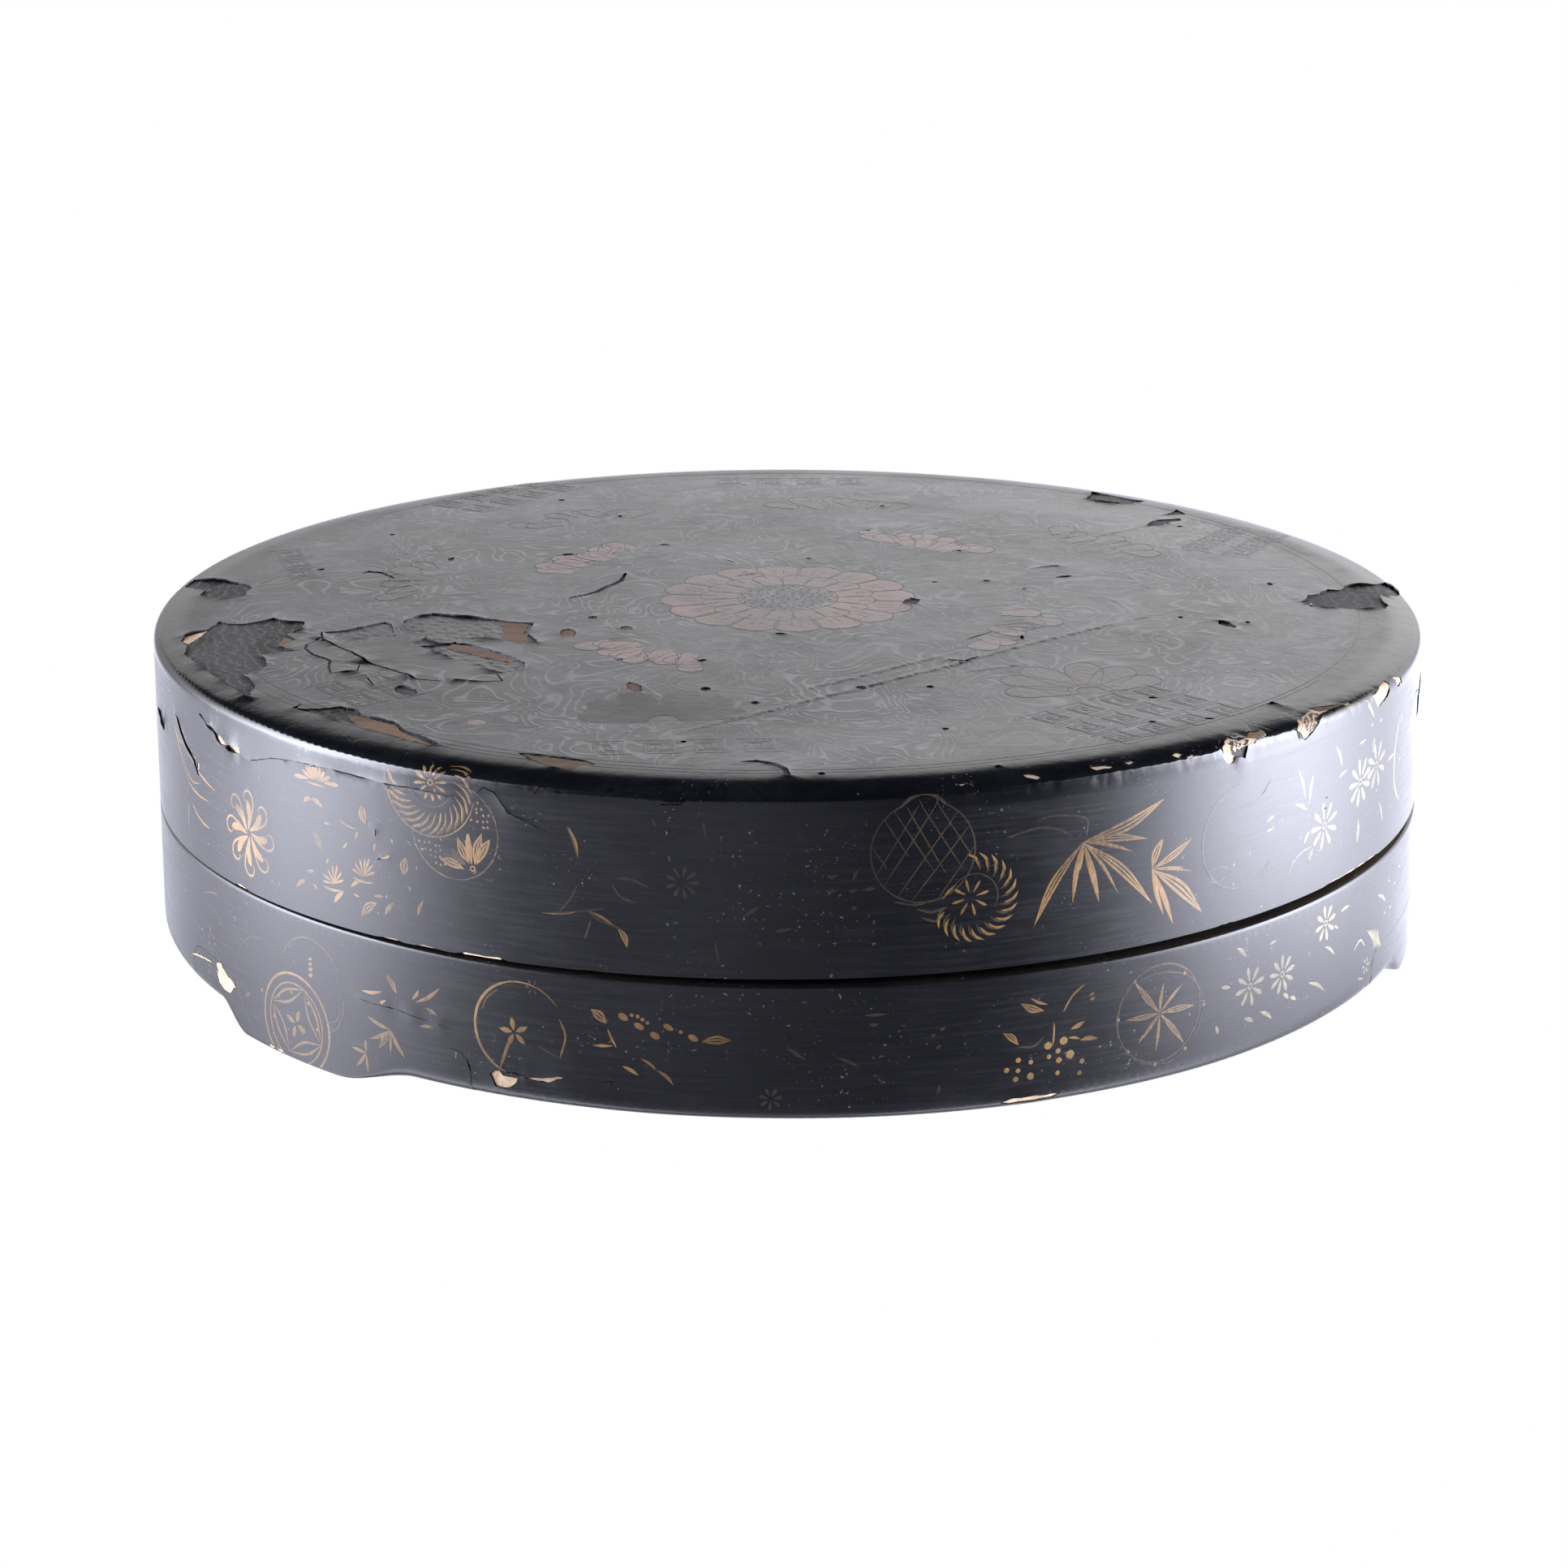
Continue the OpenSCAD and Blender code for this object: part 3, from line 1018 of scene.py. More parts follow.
def shell(
    outline: Outline, flat: np.ndarray, faces: np.ndarray, upper: np.ndarray, lower: np.ndarray
) -> tuple[np.ndarray, list]:
    """Makes a closed shell from a flat sheet.

    Args:
        outline: Outside of the box.
        flat: Points of the sheet.
        faces: Its triangles.
        upper: Height of the outer side at each point.
        lower: Height of the inner side.

    Returns:
        Points in metres and faces.
    """
    outer, inner = outline.wrap(flat, upper), outline.wrap(flat, lower)
    a, b, c = (outer[faces[:, k]] for k in range(3))
    turn = np.arctan2(flat[:, 1], flat[:, 0])
    nr, nz = outline.at(np.hypot(flat[:, 0], flat[:, 1]))[2:]
    out = np.column_stack([nr * np.cos(turn), nr * np.sin(turn), nz])
    wrong = (np.cross(b - a, c - a) * out[faces[:, 0]]).sum(1) < 0
    faces = np.where(wrong[:, None], faces[:, ::-1], faces)
    count = len(flat)
    seen = set(map(tuple, np.vstack([faces[:, [0, 1]], faces[:, [1, 2]], faces[:, [2, 0]]])))
    sides = [(q, p, p + count, q + count) for p, q in seen if (q, p) not in seen]
    return np.vstack([outer, inner]), faces.tolist() + (faces[:, ::-1] + count).tolist() + sides


def even(flat: np.ndarray) -> np.ndarray:
    """Returns no swell."""
    return np.zeros(len(flat))


# Angles and heights of the lower edge of the lacquer that has lifted at the left.
LIFTED = ((211, 217, 218.8, 220, 222, 225, 229, 235, 244), (79, 79, 78.8, 80, 82, 83.5, 84.3, 84.3, 84))


def lid_swell(flat: np.ndarray) -> np.ndarray:
    """Works out the slow waves of the old lid and the lifted lacquer at its left.

    Args:
        flat: Chart points.

    Returns:
        Heights in millimetres.
    """
    s = np.hypot(flat[:, 0], flat[:, 1])
    calm = np.clip((186 - s) / 30, 0.25, 1.0)
    slow = -0.10 + calm * (0.06 * waves(flat, 3, 6, 40, 110) + 0.02 * waves(flat, 4, 8, 10, 24))
    theta = np.degrees(np.arctan2(flat[:, 1], flat[:, 0])) % 360
    above = LID.at(s)[1] - SIZES.wall_z - np.interp(theta, LIFTED[0], LIFTED[1])
    share = np.clip((theta - 211) / 4, 0, 1) * np.clip((244 - theta) / 8, 0, 1)
    return slow + 0.6 * share * (above > 0) * np.clip(1 - above / 7, 0, 1)


def base_swell(flat: np.ndarray) -> np.ndarray:
    """Returns the slow waves of the base's wall."""
    return -0.05 + 0.03 * waves(flat, 7, 6, 30, 90)


def lid_edge(depth: float, chips: tuple) -> Callable:
    """Returns the function of the lid's lower edge.

    Args:
        depth: How far the coat recedes.
        chips: Rows of the first and last angle of a chip and its height.

    Returns:
        The chart length of the edge at angles in radians.
    """

    def length(turn: np.ndarray) -> np.ndarray:
        """Works out the chart length of the edge.

        Args:
            turn: Angles in radians.

        Returns:
            The lengths.
        """
        k = SIZES
        angle = np.degrees(turn) % 360
        z = k.lid_low_z + k.edge_slant * (1 + np.cos(turn - math.radians(k.edge_dir)))
        z = z - 0.5 * np.exp(-(((angle - 224) / 26) ** 2)) + 0.4 * np.exp(-(((angle - 320) / 26) ** 2))
        for first, last, high in chips:
            z = z + high * ((angle > first) & (angle < last)) * (0.7 + 0.3 * np.sin(9 * angle))
        return LID_WALL_S0 + LID_WALL_Z0 - z - depth

    return length


def base_edge(turn: np.ndarray) -> np.ndarray:
    """Returns the chart length of the base's rim."""
    return np.full(len(turn), BASE.s[-1] - 0.05)


def chip(loop: list, lift: float, rough: float, finish: str = "cream_wood") -> Loss:
    """Returns a loss whose whole floor is of one finish."""
    return Loss(loop, lift, rough, [(finish, loop)])


def pit(x: float, y: float, wide: float, high: float, bare: str = "", turn: float = 0.0) -> Loss:
    """Makes a small oval loss in the chart.

    Args:
        x: Its middle.
        y: The middle's other coordinate.
        wide: Its width.
        high: Its height.
        bare: Finish of its floor, if it isn't the ground.
        turn: Its direction in degrees.

    Returns:
        The loss.
    """
    a = math.radians(turn)
    loop = []
    for b in np.radians(np.arange(0, 360, 45)):
        u, v = 0.5 * wide * math.cos(b), 0.5 * high * math.sin(b)
        loop.append((x + u * math.cos(a) - v * math.sin(a), y + u * math.sin(a) + v * math.cos(a)))
    return Loss(loop, 0.15, 0.2, [(bare, loop)] if bare else [])


def crack(path: list, wide: float, lift: float = 0.25) -> Loss:
    """Makes a narrow gap along a path, widest in its middle.

    Args:
        path: Chart points.
        wide: Greatest width.
        lift: Curl of its edge.

    Returns:
        The loss.
    """
    p = np.array(path, float)
    way = np.gradient(p, axis=0)
    way /= np.maximum(np.linalg.norm(way, axis=1), 1e-6)[:, None]
    side = np.column_stack([-way[:, 1], way[:, 0]])
    half = 0.5 * wide * np.maximum(0.25, np.sin(math.pi * np.linspace(0.05, 0.95, len(p))) ** 0.5)[:, None]
    loop = np.vstack([p + side * half, (p - side * half)[::-1]])
    return Loss([tuple(q) for q in loop], lift, 0.08)


def on_lid(rows: list) -> list:
    """Returns chart points of the lid from angles and heights above the base's lower edge."""
    return [spot(LID_WALL_S0 + (LID_WALL_Z0 - (z + SIZES.wall_z)), math.radians(theta)) for theta, z in rows]


def on_base(rows: list) -> list:
    """Returns chart points of the base from angles and heights above its lower edge."""
    return [spot(BASE_WALL_S0 + (z + SIZES.wall_z - BASE_WALL_Z0), math.radians(theta)) for theta, z in rows]


def seen(outline: Outline, flat: np.ndarray) -> np.ndarray:
    """Returns where the camera sees chart points of an outline."""
    way = outline.wrap(flat, np.zeros(len(flat))) / MM - EYE
    return np.column_stack([way @ RIGHT, way @ UPWARD]) / (way @ FORWARD)[:, None]


def sighted(rows: list) -> list:
    """Moves chart points along the camera's sight lines from the even lid onto the warped one.

    Args:
        rows: Points of the even lid.

    Returns:
        Points of the warped lid.
    """
    p = np.array(rows, float)
    aim = seen(EVEN_LID, p)
    for _ in range(10):
        here = seen(LID, p)
        dx = (seen(LID, p + (0.1, 0)) - here) * 10
        dy = (seen(LID, p + (0, 0.1)) - here) * 10
        off = aim - here
        area = dx[:, 0] * dy[:, 1] - dx[:, 1] * dy[:, 0]
        x = (off[:, 0] * dy[:, 1] - off[:, 1] * dy[:, 0]) / area
        y = (dx[:, 0] * off[:, 1] - dx[:, 1] * off[:, 0]) / area
        p = p + np.clip(np.column_stack([x, y]), -0.8, 0.8)
    return [tuple(q) for q in p]


def on_shoulder(rows: list) -> list:
    """Places points that the plan of the even lid has close to its rim.

    Args:
        rows: Places in the plan.

    Returns:
        Chart points of the warped lid.
    """
    last = LID_WALL_ROW + 1
    found = []
    for x, y in rows:
        r = min(math.hypot(x, y), SIZES.box_r - 0.05)
        s = float(np.interp(r, EVEN_LID.data[:last, 0], EVEN_LID.s[:last]))
        found.append(spot(s, math.atan2(y, x)))
    return sighted(found)


def shrunk(loop: list, share: float) -> list:
    """Returns a loop drawn in towards its middle."""
    p = np.array(loop, float)
    return [tuple(q) for q in p.mean(0) + (p - p.mean(0)) * share]


LEFT_LOSS = [
    (-169, -22), (-166, -25), (-161, -26), (-153, -20), (-149, -23), (-143, -24), (-143, -32), (-147, -37),
    (-144, -43), (-147, -51), (-141, -55), (-150, -58), (-152, -60), (-150, -64), (-149, -70), (-150, -74),
    (-155, -79), (-152, -84), (-150, -90), (-151, -100), (-156, -91), (-161, -82), (-167, -70), (-175, -54),
    (-176, -45), (-178, -40), (-177.5, -34), (-171, -30.5),
]

TOP_LOSSES = [
    Loss(LEFT_LOSS, 0.4),
    Loss([(-137, -36), (-130, -34), (-124, -29.5), (-119.5, -25.5), (-117, -29), (-114.5, -42),
          (-121, -42.5), (-126, -43)], 0.3),
    Loss([(-106, -17), (-97, -20), (-89, -23), (-82, -27), (-75, -28), (-75, -32), (-76, -40), (-74, -45),
          (-73, -49), (-79, -50), (-84, -46), (-92, -44), (-98, -47), (-102, -49), (-107, -46), (-106, -42),
          (-109, -38), (-113, -31), (-114, -25), (-111, -20)], 0.4),
    Loss([(-97, -48.5), (-92, -51), (-86, -57), (-80, -63), (-75.5, -70), (-75, -77), (-78, -81),
          (-83, -79), (-92, -71), (-99, -62), (-107, -52), (-103, -51)], 0.35),
    Loss([(-135, -108), (-137, -112), (-128, -113), (-125, -112), (-119, -114), (-117, -119), (-107, -127),
          (-104, -134), (-99, -139), (-94, -146), (-97, -147), (-107, -138), (-118, -128), (-128, -118),
          (-136, -113)], 0.3),
    Loss([(-72, -154), (-66, -156), (-61, -158), (-53.5, -161), (-51, -164), (-55, -165.5), (-57, -168),
          (-63.5, -165), (-69, -160)], 0.25),
    Loss([(184.5, 29.5), (182, 27), (178, 25), (174, 23), (171, 22), (170.5, 19), (168, 16.5), (165, 16.5),
          (163, 13.5), (161, 10.5), (158, 9), (157.5, 5), (156, 2), (153, 0.2), (157.5, -0.5), (158, -4),
          (162, -6), (170, -7), (176, -6.5), (180, -5.5), (181, -1), (180, 4), (180, 9), (185, 12),
          (187, 16), (188, 22), (186.5, 28)], 0.5),
    Loss([(-184, 32), (-180, 30), (-177, 28.5), (-173, 26.5), (-168, 23), (-165, 20), (-164, 18),
          (-165, 13), (-165, 8), (-167, 5), (-171, 3), (-176, 6), (-179, 10), (-178, 15), (-183, 20),
          (-186, 25)], 0.45),
    Loss([(99, 135), (102.5, 148), (107, 145), (112, 140), (116, 137), (119, 136), (116, 132), (112.5, 129),
          (105, 131), (100, 134)], 0.5),
    Loss([(128, 123), (126, 118), (122, 113), (128, 115), (131, 116)], 0.4, 0.2),
    Loss([(116, 95.5), (119, 105.5), (124, 108), (128, 109.5), (128.5, 107), (125, 103), (121, 97),
          (117, 95)], 0.6, 0.2),
    Loss([(34.5, -8), (39, -6.5), (40, -1.5), (37, 0.5), (35, -3)], 0.3, 0.15),
    Loss([(-106, 46), (-106.5, 49), (-104.5, 51), (-104.6, 46.5)], 0.3, 0.1),
    Loss([(-13, -162.5), (-8, -161), (-3, -163.5), (0, -168), (1, -174), (-0.6, -174), (-1.8, -169),
          (-4.5, -165.3), (-8, -163.3)], 0.55, 0.1),
    Loss([(131, -23), (133, -27), (132, -30), (129.5, -28), (127.5, -25), (128, -22)], 0.4, 0.15),
    Loss([(135, -104), (137.5, -107.5), (133, -107.5)], 0.3, 0.1),
    Loss([(-132.5, 30), (-130, 34.4), (-125, 32.4), (-122, 27.4), (-120.6, 23.4), (-123, 26.6), (-126, 31),
          (-130, 32.4)], 0.25, 0.1),
]
TOP_BARE = (
    (0, "cream_wood", [(-177.5, -35), (-171.5, -31.5), (-173, -37), (-175.5, -42.5), (-177.5, -40)]),
    (0, "brown_wood", [(-147.5, -41), (-144.5, -44), (-146.5, -50), (-148.5, -50)]),
    (2, "brown_wood", [(-88, -25), (-76.5, -29), (-76.8, -33), (-77.5, -40), (-75.5, -45), (-75, -48.5),
                       (-79, -49.5), (-84.5, -45.5), (-83, -38), (-84, -31)]),
    (3, "brown_wood", [(-97, -50), (-92, -52.5), (-86, -58.5), (-80, -65), (-79, -69.5), (-86, -64),
                       (-92, -59), (-99, -53.5)]),
    (4, "brown_wood", [(-121, -119), (-115, -122.5), (-107.5, -128.5), (-104.5, -135.5), (-96, -145.5),
                       (-108, -137.5), (-118, -127)]),
    (5, "brown_wood", [(-71, -155), (-61, -159), (-53.5, -162), (-52, -164), (-57, -167), (-63, -164)]),
    (11, "brown_wood", [(34.6, -7.8), (37.5, -6.8), (36.5, -4), (35, -4)]),
)
CRACKS = (
    ([(-137, -36), (-136, -44), (-131, -51), (-126, -58), (-120.6, -69), (-112, -77), (-105, -86),
      (-97, -88)], 1.1, 0.45),
    ([(-137, -44), (-140, -48), (-140, -53), (-137, -60), (-131.5, -66), (-131, -74), (-130, -79),
      (-122.5, -78), (-122.5, -71)], 0.9, 0.35),
    ([(-120, -81), (-118.5, -86), (-116.5, -92)], 0.6, 0.3),
    ([(-94, -87), (-87, -88.5), (-80.5, -88), (-82.5, -81)], 0.8, 0.35),
    ([(-50, 29), (-51, 20), (-55, 13), (-58, 7), (-62, 3), (-66, 0)], 1.9, 0.2),
    ([(60, -37), (56, -41), (52, -46)], 0.7, 0.25),
    ([(75, 36), (79, 38.5), (84, 40)], 0.6, 0.25),
    ([(-21, 47), (-18, 44), (-16, 41)], 0.6, 0.25),
    ([(46, -67), (51, -68.5), (55, -63.5)], 1.6, 0.35),
    ([(-13, 31), (-9, 25), (-5, 19)], 0.5, 0.15),
)
TOP_LOSSES += [crack(*row) for row in CRACKS]
for index, finish, part in TOP_BARE:
    TOP_LOSSES[index].bare.append((finish, part))

PITS = (
    (-64.5, -39.5, 5, 9, "brown_wood"), (-58, -22, 3, 4), (-47.5, -34, 4, 4, "brown_wood"),
    (-43, -95, 4, 10, "brown_wood", 20), (-23, -97, 3, 4), (-107, -97, 6, 11, "", 25),
    (117, -18.5, 1.6, 2.2), (136.5, -23.5, 1.6, 2.4), (43, -133, 2, 2.6), (100, -125, 2.4, 1.8),
    (116, -121, 3, 1.8), (102, -102, 3, 2), (40, -94, 2.4, 2.4), (85, 27, 6, 2.2, "", 25),
    (148, 22, 2, 3.5), (26.5, 85, 3.5, 1.4), (-145, 38, 2.4, 2.4), (-75, 130, 2.4, 2.8), (-55, 104.5, 2, 3),
    (-69, 52.5, 4, 2.6), (-39, 65, 3.4, 1.6), (-127, 83, 2, 2), (6.5, 47.5, 2, 1.6), (31, 119, 2, 1.6),
    (61, 21, 2.2, 1.4), (45, 19.5, 2, 1.4), (72, 12, 1.8, 1.3), (127, 97, 2, 2), (54, 58, 2, 1.5),
    (20.5, -95, 3.2, 3.6, "", 40), (-2, -41, 4, 2.0, "", -25), (-48, -67.5, 2.6, 1.6),
    (-25, -69, 4.5, 2.2, "", 40), (-9, -110, 2.4, 3.2), (-28, -145.5, 1.8, 1.8), (9, -172, 2.2, 2),
    (56, -165, 2.4, 2.2), (158, -3, 1.8, 2.6), (68.5, -43, 1.2, 4),
)
TOP_LOSSES += [pit(*row) for row in PITS]

for loss in TOP_LOSSES:
    if max(y for _, y in loss.loop) < 0:
        loss.loop = sighted(loss.loop)
        loss.bare = [(finish, sighted(loop)) for finish, loop in loss.bare]
for loss in TOP_LOSSES[1:4]:
    loss.bare.insert(0, ("pale_ground", loss.loop))

SHOULDER_CHIPS = [
    [(117.5, -147), (117.8, -142), (118.5, -138), (120, -134.5), (122.5, -136.5), (124.5, -134),
     (126, -129.5), (128.5, -128.5), (130, -126.5), (131, -130), (128, -133.5), (127, -137), (124, -139),
     (121.5, -143), (119.5, -147)],
    [(140, -124), (140.5, -117), (143, -113), (145, -107), (151, -103), (157, -97.5), (158, -99),
     (152, -104.5), (148.5, -109), (146, -113), (147, -116), (145, -120), (142, -125)],
    [(165, -89), (167, -85), (170, -75.5), (172, -76), (170.5, -82), (167, -90)],
    [(173, -71), (175.5, -66.8), (176.5, -68), (174.5, -73)],
    [(103, -150.5), (104.5, -148.5), (106.2, -149), (105, -152)],
    [(89.5, -157.5), (92, -155.8), (92.8, -157), (91, -159)],
    [(80, -162), (84, -160.5), (87, -160), (86, -161.7), (82, -164.3)],
    [(62, -169.5), (64, -168.3), (67, -170), (66, -171.5), (63, -171)],
    [(44.5, -176.5), (47, -176), (48, -177), (45.5, -178)],
    [(107, -150.6), (109, -148.6), (109.6, -149.6), (108, -151.6)],
]

WALL_LOSSES = [
    Loss(on_lid([(193.5, 72), (196, 73.5), (198.8, 73.5), (197.5, 68.5), (195, 70)]), 0.4, 0.3),
    Loss(on_lid([(202.7, 78.8), (204, 78), (204.9, 75.5), (206.2, 72), (207.7, 69.4), (208.5, 65.5),
                 (208.2, 65.3), (207.2, 68.6), (205.7, 71.2), (204.4, 74.6), (203.6, 77)]), 0.6, 0.1),
    chip(on_lid([(208.1, 67), (208.2, 69.2), (208.6, 69), (208.5, 67)]), 0.1, 0.1),
    Loss(on_lid([(209, 84.4), (209.6, 84.6), (210.3, 83.8), (211.2, 83.1), (212.3, 83.3), (212.4, 82.2),
                 (213.7, 81.4), (214.6, 80.9), (214.9, 80.4), (215.8, 81.1), (217, 81.1), (217.2, 79),
                 (216, 78.7), (215.1, 79.5), (214.7, 79.8), (213.4, 78.9), (212.8, 80), (212.1, 81.6),
                 (211, 82.5), (210.1, 83.3), (209.2, 84)]), 0.5, 0.12),
    crack(on_lid([(217, 79), (218.8, 78.8), (220, 80), (222, 82), (225, 83.5), (229, 84.3), (235, 84.3),
                  (242, 84)]), 0.35, 0.3),
    crack(on_lid([(244.2, 85.5), (245, 88), (246, 87), (247.2, 82), (250.5, 78)]), 0.3, 0.2),
    Loss(on_lid([(346.3, 70), (346.4, 76), (348, 77), (349, 80), (352, 82), (351, 78), (348.4, 75),
                 (347.5, 70)]), 0.2, 0.3),
    crack(on_lid([(343, 77), (345, 79), (349, 76)]), 0.4, 0.2),
    crack(on_lid([(249.5, 88), (249.9, 89.2), (250.7, 90)]), 0.7, 0.1),
    crack(on_lid([(260, 88), (261.7, 88.2)]), 0.5, 0.1),
    crack(on_lid([(234.3, 68.5), (234.3, 70.5)]), 0.8, 0.1),
    crack(on_lid([(312.2, 75), (313, 76.5), (314, 80)]), 0.12, 0.05),
]
WALL_BARE = (
    (3, "cream_wood",
     on_lid([(209.5, 84.5), (210.3, 83.7), (211.2, 83), (212.2, 83.1), (212.2, 82.4), (211, 82.9)])),
    (3, "cream_wood",
     on_lid([(212.9, 81.2), (213.7, 81.2), (214.6, 80.7), (214.6, 80), (213.5, 79.2), (213, 80.2)])),
    (3, "cream_wood",
     on_lid([(214.9, 80.2), (215.8, 80.9), (216.9, 80.9), (217, 79.2), (216, 79), (215.2, 79.7)])),
)
for index, finish, part in WALL_BARE:
    WALL_LOSSES[index].bare.append((finish, part))
CREAM_SPECKS = [
    on_lid([(234.4, 61.8), (234.6, 62.6), (235.9, 64.3), (235.5, 62.8)]),
    on_lid([(321.6, 64.8), (321.8, 65.4), (322.1, 65)]),
    on_lid([(321.8, 67.8), (322.0, 68.4), (322.2, 68)]),
]
WALL_LOSSES += [chip(loop, 0.05, 0.08) for loop in CREAM_SPECKS]
LOW_CHIPS = (
    (215.3, 217.3, 0.8), (234.8, 236.4, 0.7), (238.3, 240, 0.6), (242.8, 246.3, 0.8), (253, 254.1, 0.6),
    (259.2, 259.6, 0.6), (308.2, 309.9, 0.8), (322.5, 333, 0.7),
)

LOOSE = [on_lid([(309.2, 92.6), (310.7, 92.8), (311.5, 91.1), (310.5, 87.8), (309.1, 88.6)]),
         on_lid([(319.2, 94.8), (321.5, 93.3), (321.3, 90.7), (319.9, 88.6), (318.5, 88.3), (318.7, 91.0)])]
WALL_LOSSES += [chip(loop, 0.3, 0.3, "ground") for loop in LOOSE]

LID_LOSSES = TOP_LOSSES + WALL_LOSSES
LID_LOSSES += [chip(on_shoulder(rows), 0.1, 0.45) for rows in SHOULDER_CHIPS]
BROWN_PARTS = (
    [(124.6, -133.5), (126.2, -130), (128.5, -129), (129.8, -127.4), (130.6, -130), (127.8, -133.2)],
    [(145.4, -107.3), (151, -103.4), (156.6, -98.2), (157.4, -99), (151.8, -104), (148, -108)],
)
for loss, part in zip(LID_LOSSES[-len(SHOULDER_CHIPS) :], BROWN_PARTS):
    loss.bare.append(("brown_wood", on_shoulder(part)))

LID_RIDGES = [
    Ridge([(-42, -149), (0, -113), (14, -100), (21, -95), (32, -85), (50, -70), (53, -66), (70, -50),
           (100, -24), (130, 0)], 0.32, 0.5),
    Ridge([(0, -100), (12, -91), (35, -71), (48, -60), (55, -53)], 0.24, 0.55),
    Ridge([(49, -80), (69, -70)], 0.19, 0.55),
    Ridge([(116, 96), (108, 88), (101, 82), (97, 80)], 0.22, 0.6),
]


# Thickness of a patch of bared wood and what is added to its depth, in millimetres.
BARED_THICK = 0.6
EXTRA_DEPTH = {"pale_ground": 0.08, "brown_wood": -0.14}


def bared_wood(body: str, outline: Outline, rows: list, looks: dict, depth: float) -> None:
    """Makes thin closed patches of bared wood in the losses, one object for each finish.

    Args:
        body: Name of the body.
        outline: Its outside.
        rows: Rows of a finish and a ragged loop.
        looks: Materials by name.
        depth: Depth of their outer side.
    """
    for finish in sorted({row[0] for row in rows}):
        verts, faces = [], []
        for loop in (row[1] for row in rows if row[0] == finish):
            across, along = (np.arange(*ends, FINE_STEP) for ends in zip(loop.min(0), loop.max(0)))
            grid = np.array([(x, y) for x in across for y in along])
            grid = grid[inside(grid, loop)]
            grid = grid[far_from(tree_of(loop), grid) > 0.4].reshape(-1, 2)
            flat, sheet = triangulate([loop], grid)
            flat, sheet = compact(flat, sheet[inside(flat[sheet].mean(1), loop)])
            low = depth + EXTRA_DEPTH.get(finish, 0.0)
            upper = 0.05 * waves(flat, 31, 6, 2, 6) - low
            more, sides = shell(outline, flat, sheet, upper, np.full(len(flat), -low - BARED_THICK))
            faces += [tuple(len(verts) + i for i in f) for f in sides]
            verts += more.tolist()
        made = mesh_object(body + "_bared_" + finish, np.array(verts), faces, looks[finish], False)
        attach(made, body)


def bare_rows(losses: list, rough: float, step: float, seed: int) -> list:
    """Gathers the bared wood of losses.

    Args:
        losses: The losses.
        rough: How far the points of a loop stray.
        step: Longest piece of a loop.
        seed: Seed of the first loss.

    Returns:
        Rows of a finish and a ragged loop.
    """
    rows = []
    for k, loss in enumerate(losses):
        rows += [(finish, jag(loop, rough, step, seed + k)) for finish, loop in loss.bare]
    return rows


def coat_look(name: str) -> str:
    """Returns the finish of a coat of the lid or base."""
    look = name.split("_")[1]
    return "black_lacquer" if look == "lacquer" else look


@dataclass
class Lid:
    """The lid's coats, which ride on its body."""

    looks: dict
    made: dict = field(default_factory=dict)

    def build(self) -> None:
        """Builds the three coats."""
        rings = list(np.arange(3.0, 166, 2.9)) + list(np.arange(167, 187, 1.6))
        rings += list(np.arange(187.2, LID_WALL_S0 + 1, 0.5)) + list(np.arange(LID_WALL_S0 + 3, 246, 3.0))
        coarse = list(np.arange(6.0, 166, 12)) + list(np.arange(168, LID_WALL_S0 + 1, 1.5))
        coarse += list(np.arange(LID_WALL_S0 + 4, 246, 6))
        holes = [jag(x.loop, x.rough, 1.3, 10 + k) for k, x in enumerate(LID_LOSSES)]
        lifts = [x.lift for x in LID_LOSSES]
        worn = (lid_edge(0.0, LOW_CHIPS), holes, lifts, LID_RIDGES, rings, lid_swell, 3.0)
        whole = (lid_edge(0.3, ()), [], [], [], coarse, even, 6.0)
        for coat in Coat:
            name = "lid_" + coat.name.lower()
            skin = Skin(name + "_skin", LID, coat, *(worn if coat is Coat.LACQUER else whole))
            self.made[name] = skin.build(self.looks[coat_look(name)])
        self.bare()

    def bare(self) -> None:
        """Builds the bared wood of the losses and of the chips at the lower edge."""
        rows = bare_rows(LID_LOSSES, 0.2, 1.2, 200)
        low = lid_edge(0.1, ())
        for a0, a1, high in LOW_CHIPS:
            turn = np.radians(np.arange(a0, a1 + 0.1, 0.25))
            s = np.concatenate([low(turn), low(turn[::-1]) - high - 0.4])
            rows.append(("cream_wood", spots(s, np.concatenate([turn, turn[::-1]]))))
        bared_wood("lid", LID, rows, self.looks, 0.36)

    def dress(self) -> None:
        """Puts the coats on the lid's body in place of the even CAD ones."""
        for name, made in self.made.items():
            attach(made, "lid")
            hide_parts(name)
            coat_look(name)
            LOG.info("lid: %s with %d faces", made.name, len(made.data.polygons))


def foot_loop(direction: float) -> list[tuple]:
    """Draws the cut-out for a foot.

    Args:
        direction: Direction of the foot's middle in degrees.

    Returns:
        The loop of chart points.
    """
    k = SIZES
    half = k.foot_half
    top = k.wall_z + k.foot_rise
    corner = k.foot_corner_r
    wall_s = BASE_WALL_S0 - BASE_WALL_Z0
    side = [(half, s) for s in np.linspace(k.foot_in_r, wall_s + top - corner, 8)]
    bend = []
    for a in np.radians(np.linspace(0, 90, 6)[1:]):
        bend.append((half - corner + corner * math.cos(a), wall_s + top - corner + corner * math.sin(a)))
    right = side + bend
    left = [(-x, s) for x, s in reversed(right)]
    inner = [(x, k.foot_in_r) for x in np.linspace(-half, half, 24)[1:-1]]
    return [spot(s, math.radians(direction) + math.asin(x / k.box_r)) for x, s in right + left + inner]


# Places across a foot at which its two S curves start and end, in millimetres.
FOOT_CURVES = ((-43.5, 15.5), (-26.5, 43.5))

